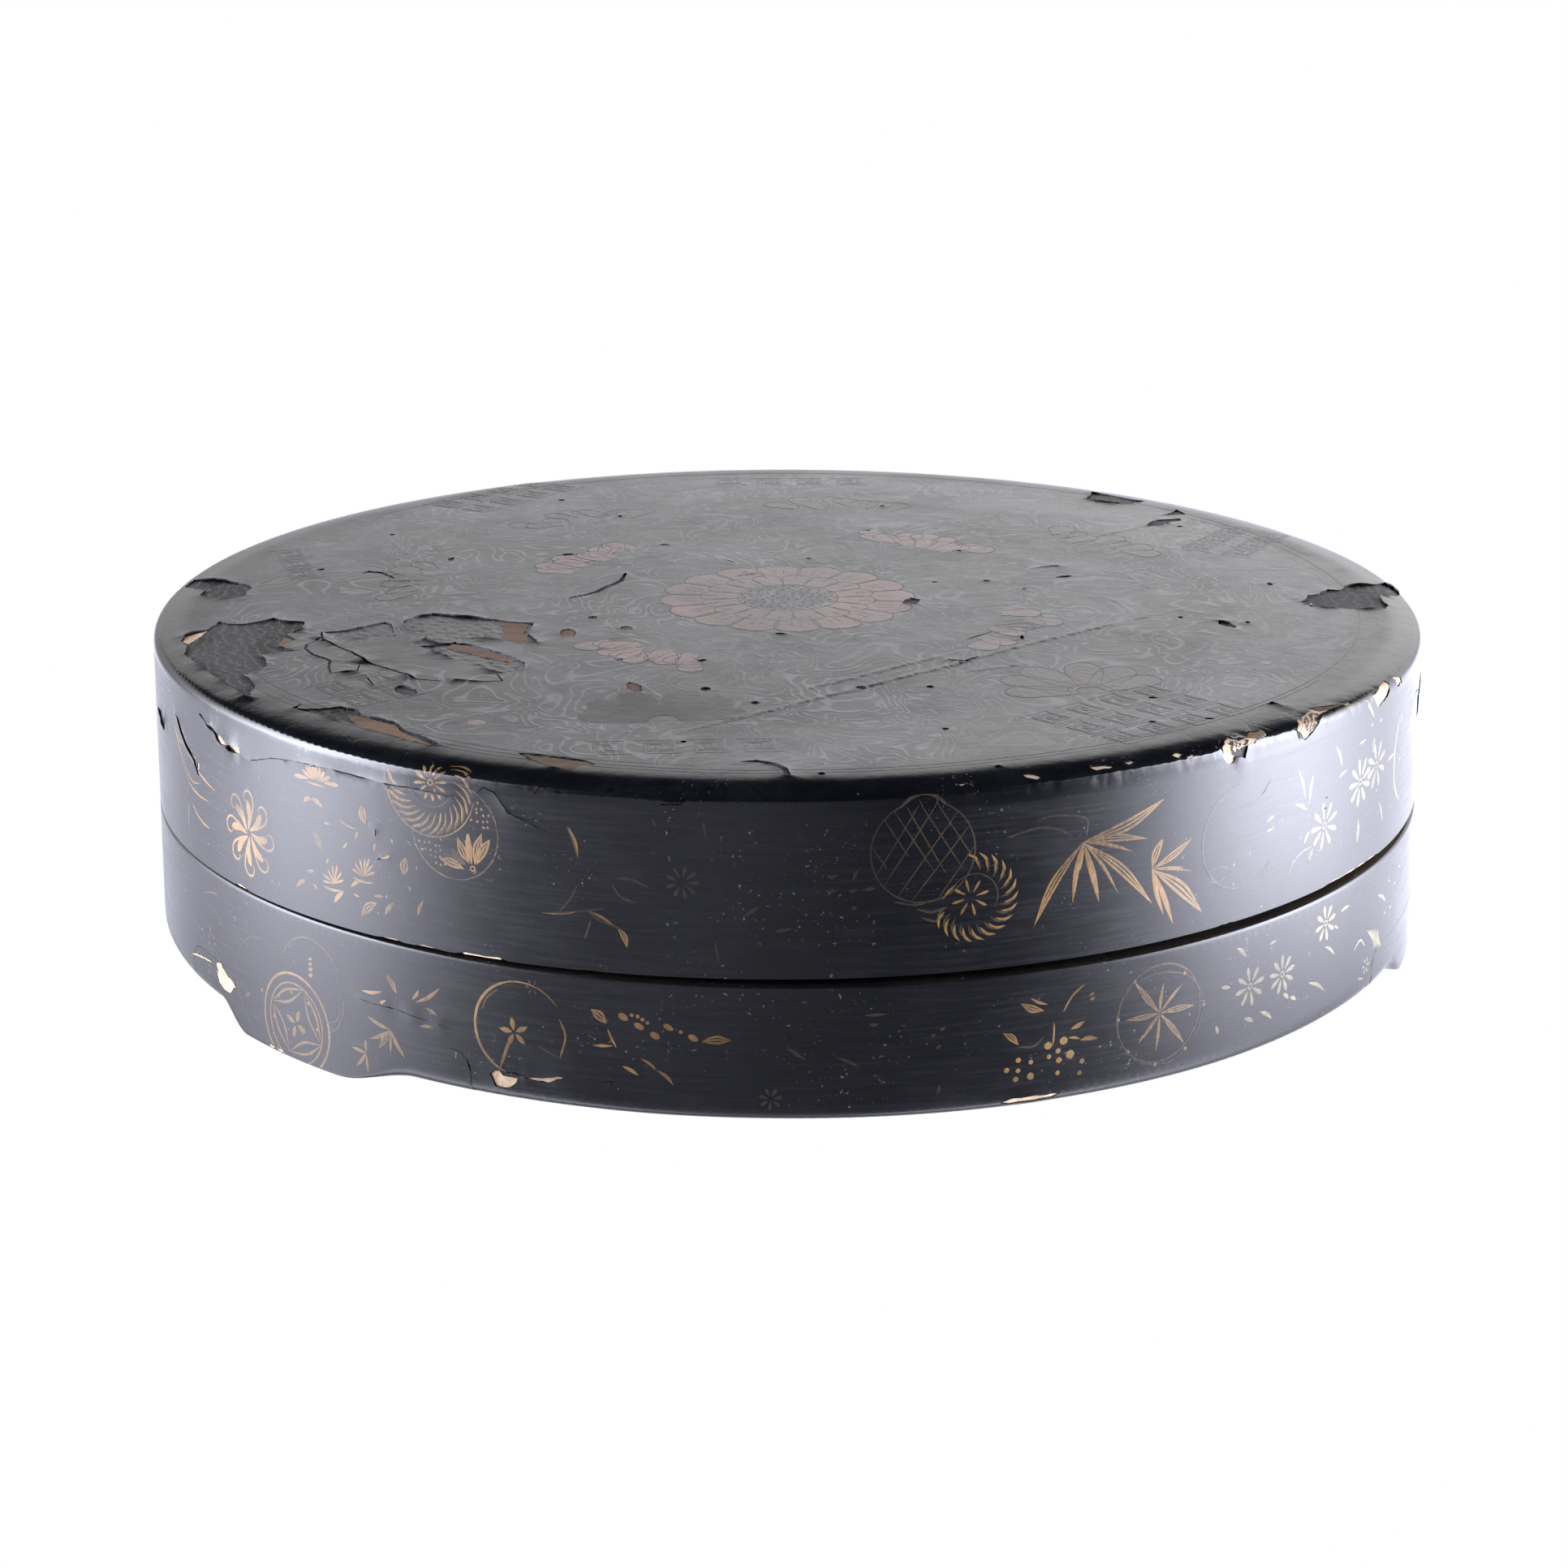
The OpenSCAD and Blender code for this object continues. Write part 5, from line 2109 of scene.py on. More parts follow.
@dataclass
class LidWallOrnament:
    """Gold sprays, flowers and roundels on the lid's wall.

    Attributes:
        gold: Brush of the sound gold.
        faint: Brush of the worn gold.
        pale: Brush of the greenish gold.
    """

    gold: Brush
    faint: Brush
    pale: Brush

    def build(self) -> None:
        """Draws all motifs from left to right."""
        self.left()
        self.flowers()
        self.roundels()
        self.middle()
        self.ball_and_wreath()
        self.bamboo()
        self.right()

    def left(self) -> None:
        """Draws the fan strokes and the swirl flower."""
        self.gold.lines((
            [(201.5, 76), (203, 72), (205, 71.5)],
            [(202, 74), (204, 68), (206.5, 62.5), (208.5, 63)],
            [(202.5, 72), (204.5, 65), (206, 61), (208, 59.5), (210.5, 59.5)],
            [(206.5, 55.5), (207.5, 53.5), (209, 52), (210.5, 51.5)],
            [(203.5, 75), (206, 70), (209, 66), (212, 64)],
        ), 0.6)
        self.faint.line([(214.3, 78), (215, 76), (214.8, 71), (214, 66), (213, 63.5)], 0.5)
        self.faint.leaf((205.4, 47), (205.7, 55), 2.6, 0.4, tip=Tip.ROUND)
        self.faint.leaf((205.5, 56), (205.6, 60), 2.0, tip=Tip.ROUND)
        swirl_flower(self.gold, (217.9, 56.8))

    def flowers(self) -> None:
        """Draws the half chrysanthemum, scattered leaves and two lotus buds."""
        b = self.gold
        tips = ((224.9, 79.3), (226.0, 81.7), (226.5, 83.1), (226.9, 83.8), (227.4, 84.3), (227.8, 84.3),
                (228.3, 83.9), (228.8, 83), (229.4, 82), (230.4, 80.2))
        for x, y in tips:
            b.leaf((x, y), (0.75 * 227.7 + 0.25 * x, 79.8), 1.8, tip=Tip.DROP)
        b.leaf((226.3, 78.6), (229, 78.6), 0.7)
        b.leaves((
            (226, 72.6, 227, 74.2, 1.8, 0.4), (227, 74.2, 228.4, 72.6, 1.9, 0.4),
            (228.5, 68.2, 229.2, 68.4, 0.9), (227, 65.5, 228.2, 59.5, 1.8, 0.3, True),
            (226.1, 52.6, 227.1, 53.4, 1.2), (224.6, 46.6, 226, 50, 1.5, 0.4),
            (226.8, 49.4, 227.5, 48.6, 1.1), (233.3, 71, 232.9, 76.6, 2.5, 0.5, True),
            (232, 66, 232.4, 68.6, 1.2), (234.1, 64, 234.3, 66.6, 1.3),
            (231.4, 52, 232.6, 54.6, 1.3, 0.3), (231.7, 50.2, 232.4, 49.8, 0.9),
            (229.4, 46, 230.6, 50, 1.7, 0.4), (232.5, 44.4, 234.3, 49.6, 2.3, 0.6, True),
            (234, 51.2, 235, 51.8, 1.1), (235.1, 46.4, 236.1, 50.6, 1.7, 0.4),
            (237.2, 59, 237.5, 64.4, 2.6, 0.4, True), (238.5, 48.4, 239.1, 53.2, 1.5, 0.3),
            (228.6, 56.5, 228.9, 58.5, 1.0), (230.6, 62.5, 231.2, 64.5, 1.0),
        ))
        b.line([(230.3, 70.5), (231.2, 69.4), (232.2, 69)], 0.4)
        b.bud((229.5, 51.6), ((228.1, 51.3), (228.1, 53.5), (228.7, 55.5), (229.3, 57), (229.9, 57.4),
                              (230.4, 55.6), (230.6, 53.4)), 1.1)
        b.bud((232.9, 56), ((231.6, 57.4), (231.9, 59.4), (232.5, 61), (233.1, 61.4), (233.6, 61.8),
                            (234.0, 60.2), (234.2, 58.2)), 1.1)
        b.leaves(((227.9, 50, 230.6, 50.2, 0.9, -0.5), (231.6, 55, 234.0, 54.9, 0.9, -0.5)))

    def roundels(self) -> None:
        """Draws the hatched roundel with a flower and the dotted one with a lotus."""
        b = self.gold
        first, second, lotus = (239.9, 86), (242.2, 74.5), (243.9, 68.5)
        b.ring(first, 14.2, 0.4, 164, 350)
        b.rays((240.1, 87), 5.4, 1.4, star(12, 8), 1.1)
        b.ring((240.1, 87), 0.8, 0.5)
        self.faint.ring((240.1, 87), 6.8, 0.4, 180, 350)
        b.rays(first, 13.8, 7.6, turns(168, 270, 9), 1.25, 30, -1.2)
        b.rays(first, 13.4, 8.2, turns(280, 385, 9), 0.8, 30, -1.2)
        self.faint.rays(first, 14, 9.2, turns(175, 380, 17), 0.4, 32, -1.6)
        self.faint.ring(second, 13.5, 0.5, -95, 120)
        b.ring(second, 13.5, 0.3, -60, 60)
        b.ring(second, 13.5, 0.35, 190, 265)
        for x, y in ((242.5, 73), (243.5, 75.2), (244.8, 75.2), (245.6, 74)):
            b.leaf((0.8 * 243.9 + 0.2 * x, 66), (x, y), 2.3, 0.3, slit=x != 243.5)
        for x, y in ((241.7, 70.2), (241, 68.3)):
            self.faint.leaf((243.4, 65.6), (x, y), 1.6, 0.4, slit=True)
        b.leaf((243.1, 64.3), (240.8, 66), 2.3, -0.4, slit=True)
        b.ring((243.9, 64.8), 0.7, 0.4)
        rng = np.random.default_rng(12)
        for x in np.arange(238.4, 246, 0.5):
            for y in np.arange(64.5, 88, 1.75):
                p = (x + rng.uniform(-0.1, 0.1), y + rng.uniform(-0.4, 0.4))
                apart = [math.hypot((p[0] - c[0]) * DEGREE, p[1] - c[1]) for c in (second, first, lotus)]
                if apart[0] < 12.4 and apart[1] > 14.8 and apart[2] >= 9.0:
                    b.dot(p, 0.38)

    def middle(self) -> None:
        """Draws the faint branch, leaves and worn flowers."""
        b = self.faint
        b.lines(([(252.3, 80), (252.7, 77), (253.2, 71.5)],
                 [(250, 55.2), (251.5, 55.8), (253.5, 57), (255.5, 58.5)],
                 [(251.5, 56), (252.5, 60), (253.1, 64)],
                 [(253.8, 57.5), (255, 54.8), (256.5, 53), (257.2, 48)], [(254.2, 54.5), (253.7, 49.5)],
                 [(256.2, 66.8), (257.5, 67), (259, 65)], [(256, 65), (256.7, 62), (258, 60.5)],
                 [(259.3, 84), (259.6, 82)], [(263.4, 84), (263.6, 79)], [(264.6, 45), (264.3, 51)]), 0.6)
        self.gold.leaves(((252.4, 80, 253.2, 72, 1.0, 0.5), (250.0, 55.2, 253.4, 57, 0.8, -0.4),
                          (253.9, 57.3, 256.3, 53.2, 0.9, 0.5), (256.4, 53.4, 257.2, 47.8, 1.5, 0.6, True)))
        b.rays((261.7, 67), 4.6, 1.5, star(9), 1.3)
        leaves = (
            (273.3, 69, 274, 69.6), (273, 65, 274, 65.6), (274.8, 65, 275.6, 65.4), (275.2, 68, 275.5, 71),
            (276, 65.3, 277, 65.8), (275.1, 60, 275.5, 60.8), (266.5, 58, 267.8, 61), (269, 54, 270.4, 55),
        )
        b.leaves(tuple(row + (1.2,) for row in leaves))

    def ball_and_wreath(self) -> None:
        """Draws the ball of crossing lines and the wreath of crescents."""
        b = self.faint
        b.ring((280.8, 75.2), 14, 0.45)
        crossing = (
            ((276.7, 77), (277.9, 71)), ((277.6, 84.7), (279.6, 74)), ((278.4, 86.8), (281.6, 70)),
            ((279.4, 87.8), (282.6, 69)), ((280.4, 89), (284, 70)), ((281.7, 89.2), (285, 72)),
            ((276.9, 68.5), (280.4, 88)), ((277.6, 66), (282.0, 89)), ((278.7, 62.8), (283.6, 86)),
            ((279.9, 61.8), (284.6, 82)), ((282.0, 61.8), (285, 76)),
        )
        b.lines(crossing, 0.4)
        self.gold.leaf((282.4, 61.6), (283.5, 65.5), 0.8, 0.3)
        centre = (285, 61.5)
        self.gold.rays(centre, 12.4, 8.6, turns(100, -140, 16), 0.85, -18, 0.9, Tip.LEAF)
        b.rays(centre, 11.6, 7.4, turns(94, -150, 16), 0.7, -16, 0.8, Tip.LEAF)
        self.gold.rays((284.7, 61.6), 5.2, 1.6, star(8, 15), 0.95, 0, 0)
        b.ring(centre, 6.6, 0.3, -30, 170)
        b.lines(([(280.3, 59.5), (281.5, 58.3), (282.6, 59.5)], [(280.7, 57), (281.8, 55.7), (282.6, 57.3)],
                 [(278.4, 61.8), (280.2, 60.6), (281.4, 61.6)]), 0.6)

    def bamboo(self) -> None:
        """Draws the two bamboo sprays."""
        b = self.gold
        b.spray((294.3, 73.5), (
            (290.1, 51.5, 2.2, -1.4, True), (293.5, 57, 1.9, -0.4), (294.1, 65.5, 1.4),
            (295.9, 56, 2.3, 0.4), (297.7, 57.5, 1.1, 0.8), (301.1, 52.5, 2.4, 1.4, True),
            (300.4, 71.5, 1.9, 0.8, True), (302.1, 82, 2.8, -1.6, True), (299.0, 68.6, 1.2, 0.6),
        ))
        self.faint.line([(287.6, 77.2), (288.3, 77.7), (290.3, 79), (292, 78), (293.3, 75.5)], 0.7)
        self.faint.line([(290.3, 81.3), (292, 81.8), (294.5, 80), (294.6, 75)], 0.6)
        b.spray((300.9, 62.5), (
            (302.0, 71, 2.2, 0.6, True), (305.1, 69.3, 1.9, -0.6, True), (304.1, 61.3, 1.1),
            (305, 59.6, 1.0, 0.4), (306.3, 46.8, 3.2, 1.2, True), (302.2, 48.8, 1.7, -0.4),
            (303.2, 45.6, 2.0, 0.4),
        ))

    def right(self) -> None:
        """Draws the circle, the three flowers and the leaves at the right."""
        b = self.pale
        self.faint.ring((310.6, 66), 15, 0.45, 95, 320)
        self.faint.line([(307.2, 56), (307.0, 58), (308.2, 58.6), (309.2, 57)], 0.5)
        self.faint.line([(307, 55), (308, 54.5), (309.5, 56.5)], 0.7)
        self.faint.line([(313, 51.8), (314.2, 54.5)], 0.5)
        b.leaves(((313.4, 67.6, 314.6, 68.5, 1.4, 0.3), (313.5, 64.8, 314.5, 65.3, 1.1)))
        for centre, count in (((321.8, 60), 9), ((328, 67.5), 9), ((331.5, 69.5), 8)):
            b.rays(centre, 7.2, 1.4, star(count, 20), 2.1)
            b.ring(centre, 0.9, 0.5)
        b.line([(320, 55.5), (318.5, 55), (317.3, 53), (316.7, 50)], 0.5)
        b.leaves((
            (319.5, 51, 320.2, 55, 1.6, 0.3, True), (318.8, 57, 319.5, 60.5, 1.5, 0.3),
            (317.4, 80, 318.7, 70, 1.3, 0.7), (319.3, 68, 319.8, 77, 1.6, 0.4),
            (317.2, 70, 319.2, 66.5, 1.3, 0.4), (323.2, 82, 324.4, 75, 1.4, 0.6),
            (323.8, 72, 325.4, 73.4, 1.1, 0.2), (328.4, 90, 330.5, 84, 1.3, 0.7),
            (330.6, 79, 330.4, 73.5, 1.7, 0.3, True), (327.4, 79, 328.9, 79.2, 1.0),
            (334.2, 68, 336.4, 68.6, 1.2), (327.9, 57, 327.8, 49, 1.5, 0.5, True),
            (332.3, 58, 333.7, 50, 1.4, 0.6), (331.5, 62.4, 331.8, 61.2, 1.0),
            (338.2, 79, 338.3, 75, 1.3), (337.6, 65, 338.6, 65.2, 1.0),
            (329.8, 82.2, 330.3, 83, 1.0), (331.8, 81.8, 332.3, 82.4, 1.0),
        ))
        b.line([(338, 80), (337, 75), (336.4, 68), (336.6, 60), (337.6, 55), (338.8, 52)], 1.2)


@dataclass
class BaseWallOrnament:
    """Gold roundels, sprays and flowers on the base's wall.

    Attributes:
        gold: Brush of the sound gold.
        faint: Brush of the worn gold.
        pale: Brush of the greenish gold.
    """

    gold: Brush
    faint: Brush
    pale: Brush

    def build(self) -> None:
        """Draws all motifs from left to right."""
        self.left_circles()
        self.left_sprays()
        self.roundel()
        self.berries()
        self.star_roundel()
        self.right()

    def left_circles(self) -> None:
        """Draws the overlapping circles over the foot."""
        b = self.faint
        b.line([(208.3, 30), (210, 32), (212, 33.2)], 0.6)
        b.dots(((209, 28), (210, 27.8), (211, 27.2), (212, 25.8), (213, 24), (213.4, 22), (213.5, 20)), 0.35)
        b.rays((210, 17), 3.4, 1.0, star(7), 1.4)
        b.ring((219.2, 12.4), 14.4, 0.5, 88, 270)
        b.ring((226.1, 20), 13, 0.5, 15, 175)
        self.gold.ring((223.9, 6), 14.6, 0.8)
        self.gold.ring((223.9, 6), 11.8, 0.55)
        nodes = ((225.1, 17), (220.7, 10), (223, -3), (227.3, 2.5))
        for k, a in enumerate(nodes):
            c = nodes[(k + 1) % 4]
            self.gold.leaf(a, c, 0.95, 1.7)
            self.gold.leaf(a, c, 0.95, -1.7)
        self.gold.rays((224, 6), 4.6, 0.6, star(4, 70), 1.8, 0, 0, Tip.LEAF)
        inner = (
            (223.5, 15), (221.6, 12.3), (225.7, 13.5), (226.8, 6.7), (225.9, -1), (220.9, 5.5),
            (219.1, 11.6),
        )
        self.gold.dots(inner, 0.6)
        for y, wide in ((27.5, 0.9), (26, 1.2), (24.5, 1.4), (22.8, 1.6)):
            self.gold.leaf((226.9 - y * 0.02, y), (225.6 + y * 0.01, y - 0.6), wide, 0.3)
        b.leaf((216.2, 6.8), (217.3, 9), 1.6)
        b.line([(217.2, 2), (218.4, 3), (218.5, 7)], 0.5)
        b.lines(([(228, 9.8), (229.3, 11.5), (229.9, 16)],
                 [(228.2, 6.5), (229.5, 10), (230.1, 15), (230.1, 20)]))

    def left_sprays(self) -> None:
        """Draws the bamboo sprigs."""
        b = self.gold
        b.leaves((
            (235, 29.5, 236.1, 24.5, 1.6, 0.5, True), (232.3, 22.8, 234.5, 24, 1.2, -0.4),
            (234, 18.7, 235, 22, 1.3, 0.4), (238.4, 27.3, 237.7, 24, 1.2, 0.3),
            (240.5, 29, 238, 23.3, 1.3, 0.6), (239, 22.5, 240.2, 21, 1.1, 0.2),
            (238.4, 16.8, 239.8, 17.5, 1.2),
        ))
        b.spray((235.4, 13.5), ((232.7, 16, 1.4, 0.4), (233.1, 9.3, 1.4, 0.4), (234, 7, 1.6, 0, True),
                                (235.3, 6.5, 1.3), (236.8, 6.5, 1.6, -0.4)))
        b.spray((232.6, 4.8), ((231, 5.2, 1.3), (232.6, 9, 1.2), (231.4, 0, 1.3, 0.3), (232.8, -1.3, 1.2)))

    def roundel(self) -> None:
        """Draws the circle with its branch and star flower, and the leaf and berry line."""
        b = self.gold
        b.ring((247.9, 21.3), 13.5, 0.8, 95, 262)
        b.ring((247.9, 21.3), 13.5, 0.4, 35, 120)
        b.line([(251.4, 25.7), (251.9, 21), (251.4, 14.5)], 0.6)
        b.line([(246.1, 9.5), (246.5, 13.5), (247, 18)], 0.9)
        b.rays((247.4, 20.2), 4.4, 0.6, star(5, 100), 1.5, 0, 0, Tip.LEAF)
        self.faint.line([(251.4, 14.8), (250.4, 16), (249.5, 17.5)], 0.5)
        self.faint.rays((249.1, 33.8), 2.2, 0.8, star(6), 0.9)
        self.faint.line([(246, 31.8), (245.0, 29), (244.5, 25.3)], 0.6)
        b.leaf((254.1, 29.7), (255.4, 26), 2.4, 0.3, slit=True)
        b.line([(255.5, 24.5), (255.8, 22), (256.2, 19.5)], 0.6)
        ends = ((256.8, 28.3, 1.1), (258.1, 26, 1), (259.4, 23.7, 1.1), (260.5, 26.3, 0.9), (262.5, 23.7, 1))
        for x, y, r in ends:
            b.leaf((x - 0.4, y + 0.7), (x + 0.4, y - 0.7), 2 * r, tip=Tip.ROUND)
        b.dots(((257.5, 29), (258, 28.8), (258.4, 28), (258.8, 27.2), (261.5, 25.2)), 0.55)
        b.leaves((
            (263.2, 22.8, 265.6, 23.4, 2.2, 0.3, True), (254.2, 19.4, 255.9, 19.8, 1.0),
            (256.7, 14.3, 258, 12, 1.2, 0.3), (258.2, 17, 259.6, 13.6, 0.9, 0.4),
            (259.5, 14, 260.9, 10, 1.2, 0.5),
        ))
        self.faint.rays((268.7, 7), 3.2, 0.8, star(7, 10), 1.3)
        strokes = (
            (270, 21.7, 271.4, 18.3), (273.9, 19, 275.9, 15.8), (276.2, 30.3, 278, 30.5),
            (276.6, 27.5, 277.3, 27.7), (281.6, 23.3, 282, 23.9), (282.3, 25, 282.8, 25.6),
            (282, 20, 282.5, 20.6), (282.2, 6.8, 282.4, 9.6),
        )
        self.faint.leaves(tuple(row + (1.1,) for row in strokes))

    def berries(self) -> None:
        """Draws the leaves with their bunch of berries."""
        b = self.gold
        b.leaves((
            (289.1, 30.3, 291.2, 27.4, 1.9, -0.5, True), (290, 31.4, 291.5, 29, 1.0, -0.3),
            (287.6, 22.5, 289, 18.5, 1.7, 0.5, True), (293.6, 21, 294.9, 22.8, 1.5, -0.2),
            (294.5, 17.4, 296.1, 17, 1.6, 0.4), (295.3, 28.5, 295.8, 29, 1.0),
            (295.2, 29.8, 295.7, 30.3, 0.9), (293.4, 18.6, 294.5, 17.8, 0.9, 0.2),
        ))
        self.faint.line([(289, 18), (290.3, 17.6), (291.2, 20)], 0.5)
        b.line([(292.9, 26.3), (293.7, 30.5), (294.8, 33.3)], 0.6)
        b.line([(292.1, 23.5), (292.1, 20), (292, 17)], 0.5)
        large = ((291.6, 17.2, 1.3), (293, 18, 1.4), (291.7, 14, 0.8), (292.6, 12.6, 1.0), (293.6, 13.8, 1.5),
                 (292.5, 15.3, 0.9), (289, 14.2, 0.9), (288, 11.7, 0.9), (289, 11.2, 0.8), (288.8, 8.8, 0.9),
                 (290.1, 13.2, 0.8), (290.1, 9.2, 1.2), (294.7, 11.3, 0.9), (292.5, 9, 0.8), (294.5, 8, 0.8))
        for x, y, r in large:
            b.dot((x, y), 0.85 * r)

    def star_roundel(self) -> None:
        """Draws the circle with a star of leaves."""
        b = self.faint
        centre = (302.1, 20.7)
        b.ring(centre, 14, 0.6)
        nodes = (
            (298, 21.2), (299.5, 31.3), (304.6, 30.6), (306.8, 20), (304.9, 8.5), (301.8, 6), (299, 11.5),
        )
        for k, a in enumerate(nodes):
            b.leaf(a, nodes[(k + 1) % len(nodes)], 0.6, 1.4)
        self.gold.dots(nodes, 0.6)
        ends = (
            (299.5, 31.3, 2.0), (302.4, 29.3, 1.7), (304.4, 27.7, 1.6), (305.9, 20.5, 2.0),
            (304.8, 10, 1.8), (301.8, 9.5, 1.6), (300, 13.2, 1.7), (298.7, 20.7, 1.8),
        )
        for x, y, wide in ends:
            self.gold.leaf(centre, (x, y), 0.8 * wide, 0.2, slit=wide > 1.75)

    def right(self) -> None:
        """Draws the flowers, the comb of strokes and leaves at the right."""
        b = self.pale
        for centre, count, r in (((312.2, 21), 8, 5.4), ((316.4, 21), 9, 5.2), ((322.7, 30.5), 8, 4.9)):
            b.rays(centre, r + 0.6, 1.3, star(count, 12), 1.8)
            b.ring(centre, 0.8, 0.5)
        b.leaves((
            (310.4, 33.6, 311.6, 30, 1.6, 0.4), (308.7, 23.4, 309.8, 22.6, 1.4),
            (308.2, 12.6, 308.5, 9.8, 1.3, 0.2), (311.6, 12, 312.8, 10.2, 1.6, 0.2),
            (313.5, 12.5, 315.2, 9, 1.4, 0.4), (314.5, 31.4, 315.4, 31.8, 1.2),
            (316.6, 15, 317.4, 13, 1.5, 0.2), (317.6, 13.2, 318.5, 11.6, 1.4, 0.2),
            (324.2, 28.3, 324.9, 26.9, 1.1), (325.2, 31.4, 326.9, 31.9, 1.2, 0.2),
            (322.7, 23.5, 324.5, 19.3, 1.2, 0.5), (320.3, 15, 323, 10, 1.3, 0.6),
            (333.3, 28.5, 335.8, 24, 1.4, 0.6), (335.2, 21.3, 335.7, 20.7, 1.0),
            (337, 21, 337.5, 20.5, 1.0), (338.4, 27.2, 338.7, 26.5, 1.0),
            (339.7, 30.8, 340.4, 30.1, 1.0), (336.2, 30, 336.8, 29.4, 1.0),
        ))
        for k in range(8):
            t = k / 7
            upper, lower = (332.4 + 1.8 * t, 16 - 2 * t), (332.9 + 2.0 * t, 12.4 - 1.2 * t)
            b.line([(331 + 2.6 * t, 20.3 - 2.0 * t), upper, lower], 0.5)
        b.line([(328.2, 17), (329.5, 18.8), (330.6, 15.8)], 0.7)
        b.rays((331, 9.5), 2.6, 0.8, star(6), 1.0)
        b.line([(329.3, 7.3), (330.5, 6)], 0.6)


@dataclass
class TopOrnament:
    """The lid's worn painting: a chrysanthemum, blossom clusters, lotus flowers and frets.

    Attributes:
        pink: Brush of the pink petals.
        faint: Brush of the worn petals.
        dark: Brush of the dark outlines, and of the painted shadow beside each fret line.
        pale: Brush of the pale lines.
    """

    pink: Brush
    faint: Brush
    dark: Brush
    pale: Brush

    def build(self) -> None:
        """Draws the motifs from the middle outwards."""
        self.chrysanthemum()
        clusters = (
            ((-64, 50), 142, 12, 1.0), ((43, 70), 57, 12, 1.0), ((-42, -63), 233, 12, 0.9),
            ((67, -35), 334, 8, 0.6), ((-70, 103), 124, 8, 0.5), ((17, 123), 82, 8, 0.5),
            ((100, 73), 36, 7, 0.5), ((-117, 22), 168, 6, 0.4),
        )
        for k, (middle, heading, count, sound) in enumerate(clusters):
            self.cluster(np.array(middle, float), heading, count, sound, 40 + k)
        self.lotus(np.array((85.0, -97.0)), 110, self.faint)
        self.lotus(np.array((-34.0, -126.0)), 95, self.dark)
        self.frets()
        arcs = ((170.5, 200, 262), (173.5, 215, 330), (176, 205, 300), (171.5, 300, 400), (175, 20, 140))
        for r, a0, a1 in arcs:
            self.dark.ring((0, 0), r, 0.3, a0, a1)
        for x, y, r in ((-85, -128, 2.6), (40, -141, 1.9), (137, -68, 1.8)):
            self.pink.dot((x, y), r)

    def petal(
        self, centre: np.ndarray, angle: float, r0: float, r1: float, wide: float, fill: Brush | None
    ) -> None:
        """Draws a round-ended petal with its outline.

        Args:
            centre: Middle of the flower.
            angle: Its direction in degrees.
            r0: Radius of its foot.
            r1: Radius of its end.
            wide: Its width.
            fill: The paint that fills it, if any.
        """
        out, side = out_and_side(angle)
        bulge = r0 + 0.68 * (r1 - r0)
        loop = [centre + out * r0 + side * 0.28 * wide, centre + out * bulge + side * 0.5 * wide]
        loop += [centre + out * (r1 - 0.05 * (r1 - r0)) + side * 0.3 * wide, centre + out * r1]
        loop += [p - 2 * side * ((p - centre) @ side) for p in loop[-2::-1]]
        if fill:
            path = smooth([centre + out * r0, centre + out * (r0 + r1) / 2, centre + out * r1], 1.2)
            t = np.linspace(0, 1, len(path))
            half = 0.52 * wide * np.sqrt(np.clip(np.minimum((t + 0.3) / 0.95, (1.0 - t) / 0.18), 0.02, 1))
            if fill.surface.drop(path, np.zeros(len(path)))[1].all():
                fill.strokes.append((path, half))
        outline = self.pale if fill is self.dark else self.dark
        outline.put(smooth([tuple(p) for p in loop], 0.9), 0.36, Tip.LINE)

    def chrysanthemum(self) -> None:
        """Draws the big flower in the middle."""
        centre = np.zeros(2)
        for angle in star(16, 5):
            self.petal(centre, angle, 21, 38.5, 13.8, self.pink)
        for angle in star(16, 16):
            self.petal(centre, angle, 14, 26.5, 9.4, self.pink)
        for angle in star(16, 16):
            self.dark.rays((0, 0), 33, 27, [angle - 8.6, angle - 13.6], 0.3, 0, 0, Tip.LINE)
        self.dark.ring((0, 0), 15.2, 0.35)
        for k in range(90):
            a, r = 2.4 * k, 14.6 * math.sqrt(k / 90)
            self.dark.dot((r * math.cos(a), r * math.sin(a)), 0.42)

    def cluster(self, middle: np.ndarray, heading: float, count: int, sound: float, seed: int) -> None:
        """Draws a worn clump of blossoms along an arc.

        Args:
            middle: Its middle.
            heading: The direction away from the lid's middle in degrees.
            count: Number of petals.
            sound: Share of the petals whose paint is left.
            seed: Seed of the wear.
        """
        rng = np.random.default_rng(seed)
        out, side = out_and_side(heading)
        for t in np.linspace(-1, 1, count):
            place = middle + side * 18 * t + out * (4.5 * rng.uniform(-1, 1) - 3 * t * t)
            paint = self.pink if sound > 0.55 else self.faint
            fill = paint if rng.uniform() < sound else None
            self.petal(place, heading + 45 * t + rng.uniform(-40, 40), -5.5, 6.5, rng.uniform(6.5, 10), fill)

    def lotus(self, foot: np.ndarray, heading: float, fill: Brush) -> None:
        """Draws a lotus flower that opens along its heading.

        Args:
            foot: Where its petals start.
            heading: Direction in which it opens, in degrees.
            fill: Paint of the petals.
        """
        for spread, long in ((-75, 24), (75, 24), (-45, 27), (45, 27), (-18, 28), (18, 28)):
            self.petal(foot, heading + spread, 4, long, 11, fill)
        for r in (4, 6.5):
            self.dark.ring(tuple(foot), r, 0.35, heading - 110, heading + 110)

